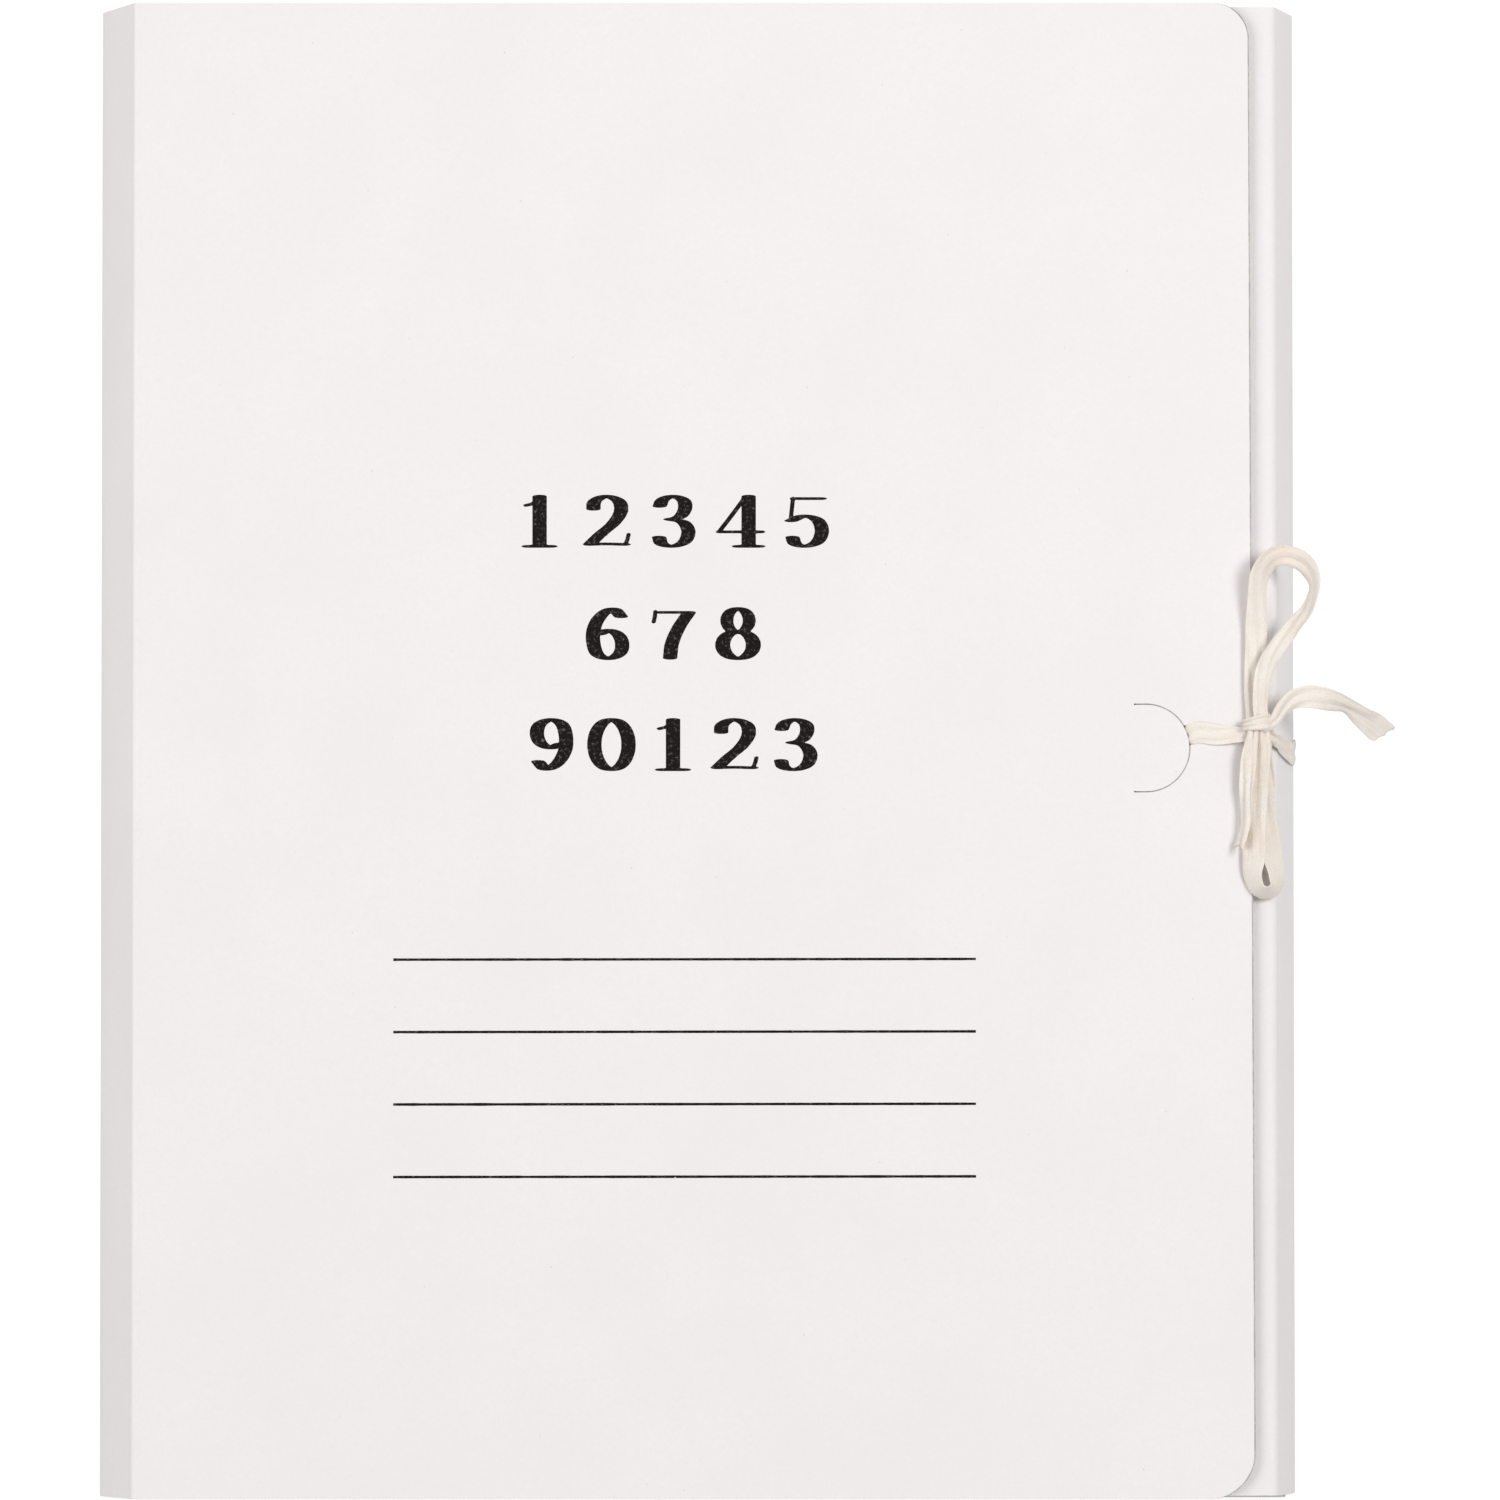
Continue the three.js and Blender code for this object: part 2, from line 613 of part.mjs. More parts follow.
// Back tape: under the back cover in its channel, then up the fore-edge wall to the knot
function makeBackRun() {
  const under = tapeClearance + tapeThickness / 2;
  const inside = board + tapeClearance + tapeThickness / 2;
  const from = backSlotX + slotRadius - slotCut / 2;
  const opened = backSlotX + slotRadius + passageDepth;
  const channelEnd = backWidth / 2 - setback(Math.PI - foreWall.angle);
  const underRoute = [
    [from, slotHeight, inside, 0, tapeWidth],
    [from + jointGap, slotHeight, inside, 0, tapeWidth],
    [(from + opened) / 2 + passageEase, slotHeight, (under + inside) / 2, 0, tapeWidth],
    [opened, slotHeight, under, 0, tapeWidth],
    [opened + slotLead, slotHeight, under, 0, tapeWidth],
    [channelEnd - jointGap, slotHeight, under, 0, tapeWidth],
  ];
  addMesh(folder, "back_tie_under_run", tapeSolid(underRoute, runSpacing, acrossFolder), tapeCotton);

  // A station on the outside of the fore-edge wall, some way up from its crease
  const onWall = (along, y, width, clear) => {
    const off = board / 2 + clear + thicknessAt(width) / 2;
    return [
      backWidth / 2 - along * Math.cos(foreWall.angle) + off * Math.sin(foreWall.angle),
      y,
      backLevel + along * Math.sin(foreWall.angle) + off * Math.cos(foreWall.angle),
      0,
      width,
    ];
  };
  const wrapTop = foreWall.width - wrapShort;
  const wrap = wrapRoute.map(([share, y, width]) =>
    onWall(THREE.MathUtils.lerp(wrapStart, wrapTop, share), slotHeight + y, width, tapeClearance),
  );
  addMesh(folder, "back_tie_wrap", tapeSolid(wrap, 2 * runSpacing, acrossFolder), tapeCotton);
  const [, topY, topWidth] = wrapRoute[wrapRoute.length - 1];
  const lead = [
    onWall(wrapTop + 2 * jointGap, slotHeight + topY + 0.1, topWidth - 0.1, tapeClearance),
    onWall(foreWall.width - passageEase, slotHeight + topY + 0.3, topWidth - 0.2, 2 * tapeClearance),
    ...backLeadRoute.map(([x, y, z, tilt, width]) => [knot.x + x, knot.y + y, knot.z + z, tilt, width]),
  ];
  addMesh(folder, "back_tie_lead", tapeSolid(lead, runSpacing, acrossFolder), tapeCotton);
}

makeBackCover();
makeSpineAndCover();
makeForeEdge();
makeEnd("head", 1);
makeEnd("tail", -1);
makeAnchor(coverCrease, "front", frontSlotX, frontTapeTurn, -board / 2, -1);
makeAnchor(folder, "back", backSlotX, backTapeTurn, board, 1);
makeFrontRun();
makeBackRun();
makeBow();

export default folder;
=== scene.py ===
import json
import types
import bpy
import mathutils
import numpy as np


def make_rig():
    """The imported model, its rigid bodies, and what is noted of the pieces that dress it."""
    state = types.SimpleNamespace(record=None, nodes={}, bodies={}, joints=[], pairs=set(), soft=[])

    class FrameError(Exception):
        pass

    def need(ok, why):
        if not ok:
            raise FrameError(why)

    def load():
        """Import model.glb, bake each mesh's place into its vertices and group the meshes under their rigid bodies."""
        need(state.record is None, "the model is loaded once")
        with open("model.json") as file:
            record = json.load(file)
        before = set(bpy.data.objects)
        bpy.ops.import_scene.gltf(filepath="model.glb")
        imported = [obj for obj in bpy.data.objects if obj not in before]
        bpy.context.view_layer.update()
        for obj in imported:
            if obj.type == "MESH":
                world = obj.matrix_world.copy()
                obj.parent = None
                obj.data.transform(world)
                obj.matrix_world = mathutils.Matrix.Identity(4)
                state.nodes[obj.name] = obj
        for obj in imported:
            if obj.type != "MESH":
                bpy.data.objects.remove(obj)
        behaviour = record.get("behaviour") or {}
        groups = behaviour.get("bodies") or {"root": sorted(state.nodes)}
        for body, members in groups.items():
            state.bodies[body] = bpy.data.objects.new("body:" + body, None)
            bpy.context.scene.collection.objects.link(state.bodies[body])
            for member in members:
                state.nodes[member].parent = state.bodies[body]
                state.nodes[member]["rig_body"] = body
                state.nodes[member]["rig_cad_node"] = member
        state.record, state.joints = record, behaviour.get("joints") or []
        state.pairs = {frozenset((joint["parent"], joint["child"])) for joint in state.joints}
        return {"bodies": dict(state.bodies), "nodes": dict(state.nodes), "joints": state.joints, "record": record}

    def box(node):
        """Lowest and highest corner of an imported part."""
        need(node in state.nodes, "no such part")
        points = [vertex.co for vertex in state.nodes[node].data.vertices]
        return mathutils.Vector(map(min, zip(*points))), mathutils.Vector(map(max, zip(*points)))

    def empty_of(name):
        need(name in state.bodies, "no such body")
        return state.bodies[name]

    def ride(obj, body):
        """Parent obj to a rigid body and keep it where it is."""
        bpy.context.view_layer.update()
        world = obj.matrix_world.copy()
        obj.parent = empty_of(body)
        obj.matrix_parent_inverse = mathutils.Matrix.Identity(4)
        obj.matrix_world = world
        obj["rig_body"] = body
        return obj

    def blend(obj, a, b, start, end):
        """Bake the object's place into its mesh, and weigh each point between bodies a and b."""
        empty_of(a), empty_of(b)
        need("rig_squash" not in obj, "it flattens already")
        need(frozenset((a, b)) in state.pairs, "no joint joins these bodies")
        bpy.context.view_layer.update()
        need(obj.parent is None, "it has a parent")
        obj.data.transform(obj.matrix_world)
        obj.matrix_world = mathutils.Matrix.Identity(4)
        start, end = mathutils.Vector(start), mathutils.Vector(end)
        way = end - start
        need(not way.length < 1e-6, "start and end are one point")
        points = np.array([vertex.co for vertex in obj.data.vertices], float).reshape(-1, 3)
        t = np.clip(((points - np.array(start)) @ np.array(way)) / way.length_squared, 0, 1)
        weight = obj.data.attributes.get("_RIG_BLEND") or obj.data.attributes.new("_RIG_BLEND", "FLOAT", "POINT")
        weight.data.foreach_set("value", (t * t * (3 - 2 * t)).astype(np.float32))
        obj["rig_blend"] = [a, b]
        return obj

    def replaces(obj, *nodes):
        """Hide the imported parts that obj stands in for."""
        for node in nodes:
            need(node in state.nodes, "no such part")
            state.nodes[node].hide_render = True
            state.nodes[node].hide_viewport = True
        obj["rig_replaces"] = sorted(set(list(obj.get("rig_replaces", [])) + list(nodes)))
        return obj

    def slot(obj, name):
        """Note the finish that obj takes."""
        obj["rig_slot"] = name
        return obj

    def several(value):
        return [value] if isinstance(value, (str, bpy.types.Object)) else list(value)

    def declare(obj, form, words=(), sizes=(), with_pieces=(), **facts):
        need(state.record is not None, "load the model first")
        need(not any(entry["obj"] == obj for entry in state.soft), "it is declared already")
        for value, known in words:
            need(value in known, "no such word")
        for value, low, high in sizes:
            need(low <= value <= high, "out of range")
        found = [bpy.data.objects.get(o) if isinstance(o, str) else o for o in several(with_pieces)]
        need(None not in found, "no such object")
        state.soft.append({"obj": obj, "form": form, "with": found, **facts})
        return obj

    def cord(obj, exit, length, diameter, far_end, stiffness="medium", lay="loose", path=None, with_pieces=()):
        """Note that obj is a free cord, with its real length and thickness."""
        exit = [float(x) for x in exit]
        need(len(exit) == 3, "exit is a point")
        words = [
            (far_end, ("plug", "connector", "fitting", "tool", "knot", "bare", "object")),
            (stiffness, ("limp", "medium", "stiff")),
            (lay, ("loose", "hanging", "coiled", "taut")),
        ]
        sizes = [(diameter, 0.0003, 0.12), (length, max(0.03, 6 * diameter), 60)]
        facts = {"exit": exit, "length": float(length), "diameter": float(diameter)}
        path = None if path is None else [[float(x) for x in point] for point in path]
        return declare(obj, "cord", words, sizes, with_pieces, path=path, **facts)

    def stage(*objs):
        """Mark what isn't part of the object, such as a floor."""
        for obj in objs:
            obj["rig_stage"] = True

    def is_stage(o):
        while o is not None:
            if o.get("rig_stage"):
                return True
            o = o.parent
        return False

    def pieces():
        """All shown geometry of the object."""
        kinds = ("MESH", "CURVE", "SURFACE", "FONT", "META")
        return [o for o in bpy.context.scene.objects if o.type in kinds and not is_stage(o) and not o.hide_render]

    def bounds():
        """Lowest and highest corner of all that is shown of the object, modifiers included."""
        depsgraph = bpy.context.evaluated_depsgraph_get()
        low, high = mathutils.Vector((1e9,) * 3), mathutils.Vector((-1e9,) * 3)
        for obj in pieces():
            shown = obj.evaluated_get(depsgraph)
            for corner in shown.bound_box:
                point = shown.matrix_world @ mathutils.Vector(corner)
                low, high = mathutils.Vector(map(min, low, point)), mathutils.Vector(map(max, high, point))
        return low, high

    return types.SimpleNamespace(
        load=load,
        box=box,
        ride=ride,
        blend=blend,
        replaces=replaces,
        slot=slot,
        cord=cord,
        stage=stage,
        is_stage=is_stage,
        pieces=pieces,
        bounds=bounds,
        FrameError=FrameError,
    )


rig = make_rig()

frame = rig.load()

import json
import math
import bpy
import numpy as np
from mathutils import Matrix, Vector

mm = 0.001
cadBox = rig.bounds()
print("frame loaded:", len(frame["nodes"]), "nodes")

cameraSet = {
    "elevation": 87.8,  # degrees above the table, from the folder's foot
    "distance": 2200 * mm,  # camera to the middle of the front cover
    "pixel": 0.2070 * mm,  # one pixel of the picture, on the front cover
    "pixels": 1500,  # across the picture
    "sensor": 36,  # millimetres
    "shift": (0.0352, 0.0),  # the folder's middle stands left of the picture's middle
    "aim": (0.0, -0.22 * mm, 20.2 * mm),
}


def makeCamera():
    lift = math.radians(cameraSet["elevation"])
    back = np.array([0.0, -math.cos(lift), math.sin(lift)])
    data = bpy.data.cameras.new("camera")
    data.sensor_width = cameraSet["sensor"]
    data.lens = cameraSet["sensor"] * cameraSet["distance"] / (cameraSet["pixel"] * cameraSet["pixels"])
    data.shift_x, data.shift_y = cameraSet["shift"]
    data.clip_start, data.clip_end = 0.05, 50  # metres
    camera = bpy.data.objects.new("camera", data)
    camera.location = np.array(cameraSet["aim"]) + back * cameraSet["distance"]
    camera.rotation_euler = (math.pi / 2 - lift, 0, 0)
    bpy.context.collection.objects.link(camera)
    bpy.context.scene.camera = camera


makeCamera()
print("camera made")


def linear(code):
    # sRGB hex to linear RGBA
    parts = np.array([int(code[i:i + 2], 16) for i in (1, 3, 5)]) / 255
    low = parts / 12.92
    high = ((parts + 0.055) / 1.055) ** 2.4
    return (*np.where(parts <= 0.04045, low, high), 1.0)


def addNode(tree, kind, inputs=None, **settings):
    # inputs: socket name or number -> a value, or an output socket to link from
    node = tree.nodes.new(kind)
    for name, value in settings.items():
        setattr(node, name, value)
    for name, value in (inputs or {}).items():
        if isinstance(value, bpy.types.NodeSocket):
            tree.links.new(value, node.inputs[name])
        else:
            node.inputs[name].default_value = value
    return node


def newMaterial(name, roughness, specular=0.3, sheen=0.0):
    material = bpy.data.materials.new(name)
    material.use_nodes = True
    tree = material.node_tree
    shader = tree.nodes["Principled BSDF"]
    shader.inputs["Roughness"].default_value = roughness
    shader.inputs["Specular IOR Level"].default_value = specular
    shader.inputs["Sheen Weight"].default_value = sheen
    return material, tree, shader


def layered(tree, shader, colour, *layers):
    # a base colour with others laid over it one by one: a share and a colour each
    colour = linear(colour)
    for share, over in layers:
        colour = addNode(tree, "ShaderNodeMix", {0: share, 6: colour, 7: linear(over)},
                         data_type="RGBA").outputs[2]
    tree.links.new(colour, shader.inputs["Base Color"])
    return colour


def ramp(tree, value, stops):
    # stops: (place, grey level)
    node = addNode(tree, "ShaderNodeValToRGB", {"Fac": value})
    elements = node.color_ramp.elements
    while len(elements) < len(stops):
        elements.new(0.5)
    for element, (place, level) in zip(elements, stops):
        element.position = place
        element.color = (level, level, level, 1)
    return node.outputs["Color"]


def noise(tree, size, detail=2.0, roughness=0.5, distortion=0.0):
    place = addNode(tree, "ShaderNodeTexCoord").outputs["Object"]
    return addNode(tree, "ShaderNodeTexNoise",
                   {"Vector": place, "Scale": 1 / size, "Detail": detail, "Roughness": roughness,
                    "Distortion": distortion}).outputs["Fac"]


def spots(tree, spacing):
    # distance to the nearest of many scattered points, in spacings
    place = addNode(tree, "ShaderNodeTexCoord").outputs["Object"]
    return addNode(tree, "ShaderNodeTexVoronoi",
                   {"Vector": place, "Scale": 1 / spacing}).outputs["Distance"]


def relief(tree, shader, strength, depth, height):
    bump = addNode(tree, "ShaderNodeBump", {"Strength": strength, "Distance": depth, "Height": height})
    tree.links.new(bump.outputs["Normal"], shader.inputs["Normal"])
    return bump.outputs["Normal"]


boardLook = {
    "face": "#F5F1F1",
    "fibre": "#EEEAE8",
    "speck": "#C9C3BD",
    "fibreWidth": 0.5 * mm,
    "speckSpacing": 7.0 * mm,
    "cloud": 26 * mm,
    "relief": 0.08 * mm,
}


def makeBoard(name="uncoated white box board"):
    # Uncoated board: matt, faintly felted by its fibres, with a few grey specks of recycled pulp
    material, tree, shader = newMaterial(name, roughness=0.86, specular=0.22)
    fibres = noise(tree, 2 * boardLook["fibreWidth"], 4.0, 0.6, 1.2)
    clouds = noise(tree, boardLook["cloud"], 3.0)
    specks = spots(tree, boardLook["speckSpacing"])
    layered(tree, shader, boardLook["face"],
            (ramp(tree, fibres, [(0.35, 0.0), (0.7, 0.55)]), boardLook["fibre"]),
            (ramp(tree, clouds, [(0.35, 0.0), (0.75, 0.45)]), boardLook["fibre"]),
            (ramp(tree, specks, [(0.012, 0.6), (0.03, 0.0)]), boardLook["speck"]))
    relief(tree, shader, 0.25, boardLook["relief"], fibres)
    return material


tapeLook = {
    "thread": "#FEF9F1",
    "shade": "#F8ECE1",
    # painted shade in the pits of the weave
    "pitShade": "#CBB89E",
    "warm": "#F8E8D8",
    "husk": "#8C7558",
    "threadSpacing": 0.44 * mm,
    "pickSpacing": 0.5 * mm,
    "streakSpacing": 0.95 * mm,
    "huskSpacing": 11 * mm,
    "wobbleSize": 1.1 * mm,  # how soon the rows of threads stray
    "fuzzSize": 0.35 * mm,
    "openSize": 5 * mm,  # patches where the weave is open
    "unevenSize": 0.8 * mm,  # groups of deeper pits
    "warmSize": 9 * mm,
    "pitDepth": 0.5,  # share of the painted pit shade in the middle of a pit
    "relief": 0.12 * mm,
    "glow": 0.08,  # light that comes through the cloth
}


def makeCotton(name="unbleached cotton twill tape"):
    # Loosely woven cotton: cream threads that lie smooth in some places and open into rows of small pits in others,
    # with painted shade in the pits, a few husk specks, and a soft fuzz
    material, tree, shader = newMaterial(name, roughness=0.95, specular=0.1, sheen=0.2)
    shader.inputs["Sheen Roughness"].default_value = 0.6
    weave = addNode(tree, "ShaderNodeUVMap", uv_map="weave")
    axes = addNode(tree, "ShaderNodeSeparateXYZ", {0: weave.outputs[0]})

    def combine(operation, first, second, third=0.0):
        return addNode(tree, "ShaderNodeMath", {0: first, 1: second, 2: third},
                       operation=operation).outputs[0]

    wobble = noise(tree, tapeLook["wobbleSize"])

    def wave(along, other, spacing, lean, sway):
        # the absolute cosine of the place across the threads, leaned as a twill is and unevenly drawn
        turns = combine("MULTIPLY", combine("MULTIPLY_ADD", other, lean, along), math.pi / spacing)
        curve = combine("COSINE", combine("MULTIPLY_ADD", wobble, sway, turns), 0.0)
        return combine("ABSOLUTE", curve, 0.0)

    warp = wave(axes.outputs["X"], axes.outputs["Y"], tapeLook["threadSpacing"], 0.5, 6.0)
    weft = wave(axes.outputs["Y"], axes.outputs["X"], tapeLook["pickSpacing"], -0.3, -7.0)
    pits = combine("MULTIPLY", warp, weft)
    fuzz = noise(tree, tapeLook["fuzzSize"], 3.0, 0.65)
    streak = wave(axes.outputs["X"], axes.outputs["Y"], tapeLook["streakSpacing"], 0.04, 1.5)
    opened = ramp(tree, noise(tree, tapeLook["openSize"], 3.0), [(0.46, 0.0), (0.6, 1.0)])
    uneven = ramp(tree, noise(tree, tapeLook["unevenSize"]), [(0.4, 0.2), (0.62, 1.0)])
    warm = noise(tree, tapeLook["warmSize"])
    husks = spots(tree, tapeLook["huskSpacing"])
    deepest = ramp(tree, pits, [(0.62, 0.0), (1.0, tapeLook["pitDepth"])])
    pitShare = combine("MULTIPLY", combine("MULTIPLY", deepest, opened), uneven)
    colour = layered(tree, shader, tapeLook["thread"],
                     (ramp(tree, fuzz, [(0.38, 0.0), (0.68, 0.85)]), tapeLook["shade"]),
                     (ramp(tree, warm, [(0.45, 0.0), (0.7, 0.6)]), tapeLook["warm"]),
                     (ramp(tree, streak, [(0.75, 0.0), (1.0, 0.25)]), tapeLook["shade"]),
                     # painted shade in the pits of the weave
                     (pitShare, tapeLook["pitShade"]),
                     (ramp(tree, husks, [(0.008, 0.8), (0.018, 0.0)]), tapeLook["husk"]))
    sunk = combine("MULTIPLY_ADD", pitShare, -1.6, fuzz)
    height = combine("MULTIPLY_ADD", streak, -0.5, sunk)
    normal = relief(tree, shader, 0.6, tapeLook["relief"], height)
    through = addNode(tree, "ShaderNodeBsdfTranslucent", {"Color": colour, "Normal": normal})
    cloth = addNode(tree, "ShaderNodeMixShader",
                    {0: tapeLook["glow"], 1: shader.outputs[0], 2: through.outputs[0]})
    tree.links.new(cloth.outputs[0], tree.nodes["Material Output"].inputs["Surface"])
    return material


inkLook = {
    "ink": "#140F0E",
    "worn": "#8E8884",
    "bare": "#E9E5E2",
    "wornSize": 0.36 * mm,
    "bareSpacing": 5.5 * mm,
}


def makeInk(name="matt black offset ink"):
    # Ink printed on rough board: it misses the hollows between the fibres, so it is finely mottled,
    # and small spots have been left bare
    material, tree, shader = newMaterial(name, roughness=0.75, specular=0.15)
    hollows = noise(tree, 2 * inkLook["wornSize"], 5.0, 0.7)
    missed = spots(tree, inkLook["bareSpacing"])
    layered(tree, shader, inkLook["ink"],
            (ramp(tree, hollows, [(0.55, 0.0), (0.74, 0.7)]), inkLook["worn"]),
            (ramp(tree, missed, [(0.025, 0.85), (0.05, 0.0)]), inkLook["bare"]))
    return material


patchLook = {
    "paper": "#EFEBE2",
    "glued": "#E6E0D4",
    "cockleSize": 4 * mm,
    "relief": 0.2 * mm,
}


def makePatchPaper(name="gummed kraft-white paper"):
    # Thin gummed paper: smoother and a little yellower than the board, faintly cockled by the glue
    material, tree, shader = newMaterial(name, roughness=0.7)
    cockle = noise(tree, patchLook["cockleSize"])
    layered(tree, shader, patchLook["paper"],
            (ramp(tree, cockle, [(0.35, 0.0), (0.7, 0.7)]), patchLook["glued"]))
    relief(tree, shader, 0.5, patchLook["relief"], cockle)
    return material


# the grey of the board's cut core, also used as painted shadow along the cover's free edge
coreAndEdgeShadowLook = {
    "pulp": "#C5C0BB",
    "dark": "#A69F9A",
    "grain": 1.5 * mm,
}


def makeCoreAndEdgeShadow(name="grey pulp core and painted edge shadow"):
    # Where the board is cut its core shows: duller than the face, rough and uneven along the cut. The same grey also
    # makes the painted shadow line along the cover's free edge.
    material, tree, shader = newMaterial(name, roughness=0.95, specular=0.1)
    pulp = noise(tree, coreAndEdgeShadowLook["grain"], 4.0, 0.7)
    layered(tree, shader, coreAndEdgeShadowLook["pulp"],
            (ramp(tree, pulp, [(0.35, 0.0), (0.65, 1.0)]), coreAndEdgeShadowLook["dark"]))
    return material


boardMaterial = makeBoard()
coreAndEdgeShadowMaterial = makeCoreAndEdgeShadow()
cottonMaterial = makeCotton()
inkMaterial = makeInk()
patchMaterial = makePatchPaper()
print("materials made")


def meshPiece(name, points, faces, material, uv=None, smooth=True):
    # points in millimetres; uv is one pair per point
    mesh = bpy.data.meshes.new(name)
    mesh.from_pydata((np.asarray(points) * mm).tolist(), [], faces)
    mesh.validate()
    if uv is not None:
        layer = mesh.uv_layers.new(name="weave")
        corners = np.zeros(len(mesh.loops), int)
        mesh.loops.foreach_get("vertex_index", corners)
        layer.data.foreach_set("uv", (np.asarray(uv)[corners] * mm).ravel())
    mesh.materials.append(material)
    mesh.polygons.foreach_set("use_smooth", np.full(len(mesh.polygons), smooth))
    piece = bpy.data.objects.new(name, mesh)
    bpy.context.collection.objects.link(piece)
    return piece


def tubeFaces(rows, sides):
    # quads between closed rings, and a face over each end
    ring = np.arange(rows - 1)[:, None] * sides
    side = np.arange(sides)[None, :]
    after = (side + 1) % sides
    quads = np.stack([ring + side, ring + after, ring + sides + after, ring + sides + side], -1)
    ends = [list(range(sides))[::-1], list(range((rows - 1) * sides, rows * sides))]
    return quads.reshape(-1, 4).tolist() + ends


def tapeFaces(rows, count):
    # the same for a tape, whose ring is one face's points and then the other's back again: each end
    # is closed by quads from face to face
    sides = 2 * count
    faces = tubeFaces(rows, sides)[:-2]
    near = np.arange(count - 1)
    cap = np.stack([near, near + 1, sides - 2 - near, sides - 1 - near], 1)
    return faces + cap[:, ::-1].tolist() + (cap + (rows - 1) * sides).tolist()


def turnOut(points, faces):
    # six times the volume, from every face's fan of triangles; if it is negative, every face is
    # turned over
    points = np.asarray(points) - np.mean(points, axis=0)
    total = 0.0
    for size in {len(face) for face in faces}:
        corners = points[np.array([face for face in faces if len(face) == size])]
        total += np.sum(corners[:, :1] * np.cross(corners[:, 1:-1], corners[:, 2:]))
    return [list(face)[::-1] for face in faces] if total < 0 else faces


def evened(values):
    # the mean of every five values in a row, which makes four fewer
    return np.convolve(values, np.ones(5) / 5, "valid")


halfBoard = 0.25
foreFold = 124.4  # where the back cover and the fore-edge wall meet
wallAngle = math.radians(75.03)
slots = {  # each half-moon cut: its centre, the turn of its tape from +X, its body
    "front": ((92.9, 0.2), 17, "cover"),  # degrees
    "back": ((93.3, 0.2), 0, "back"),
}
tape = {
    "width": 5.3,
    "inSlot": 4.5,  # width in the front slot
    "thickness": 0.42,
    "step": 0.4,  # rows along the tape
    "across": 17,  # points across one face
    "smooth": 9,  # rows over which tilt and width are evened out
    "turnLength": 3,  # it turns from edgewise to level over this length
    "narrowest": 0.35,  # share of its width below which the waves grow no deeper
    "foldShare": 0.85,  # of the waves' slope that keeps its whole width
    "ripple": 0.07,
    "edge": 0.2,  # share of its thickness that is left at its edges
    "frayRows": 6,
    "teeth": 9,
    "threadLength": (0.4, 1.7),
    "threadRadius": 0.055,
}
knotCentre = np.array([115.9, 5.2, 22.75])


def smoothLine(stations, step):
    # Centripetal Catmull-Rom: each span is a cubic through two stations, its end slopes from the
    # four nearest, timed by the square root of their distances; then equal steps along its length
    rows = np.array(stations, float)
    points = rows[:, :3]
    points = np.vstack([2 * points[0] - points[1], points, 2 * points[-1] - points[-2]])
    gap = np.sqrt(np.linalg.norm(np.diff(points, axis=0), axis=1))[:, None]
    p0, p1, p2, p3 = points[:-3], points[1:-2], points[2:-1], points[3:]
    d0, d1, d2 = gap[:-2], gap[1:-1], gap[2:]
    slope1 = ((p1 - p0) / d0 - (p2 - p0) / (d0 + d1) + (p2 - p1) / d1) * d1
    slope2 = ((p2 - p1) / d1 - (p3 - p1) / (d1 + d2) + (p3 - p2) / d2) * d1
    t = np.linspace(0, 1, 40, endpoint=False)[None, :, None]
    line = ((2 * t**3 - 3 * t**2 + 1) * p1[:, None] + (t**3 - 2 * t**2 + t) * slope1[:, None]
            + (3 * t**2 - 2 * t**3) * p2[:, None] + (t**3 - t**2) * slope2[:, None])
    line = np.vstack([line.reshape(-1, 3), points[-2]])
    place = np.append((np.arange(len(p1))[:, None] + t[0, :, 0][None, :]).ravel(), len(p1))
    run = np.insert(np.cumsum(np.linalg.norm(np.diff(line, axis=0), axis=1)), 0, 0)
    count = max(3, int(round(run[-1] / step)) + 1)
    along = np.linspace(0, run[-1], count)
    centre = np.stack([np.interp(along, run, line[:, k]) for k in range(3)], 1)
    at = np.interp(along, run, place)
    extra = [np.interp(at, np.arange(len(rows)), rows[:, k]) for k in range(3, rows.shape[1])]
    return along, centre, extra


def unit(vectors):
    return vectors / np.linalg.norm(vectors, axis=-1, keepdims=True)


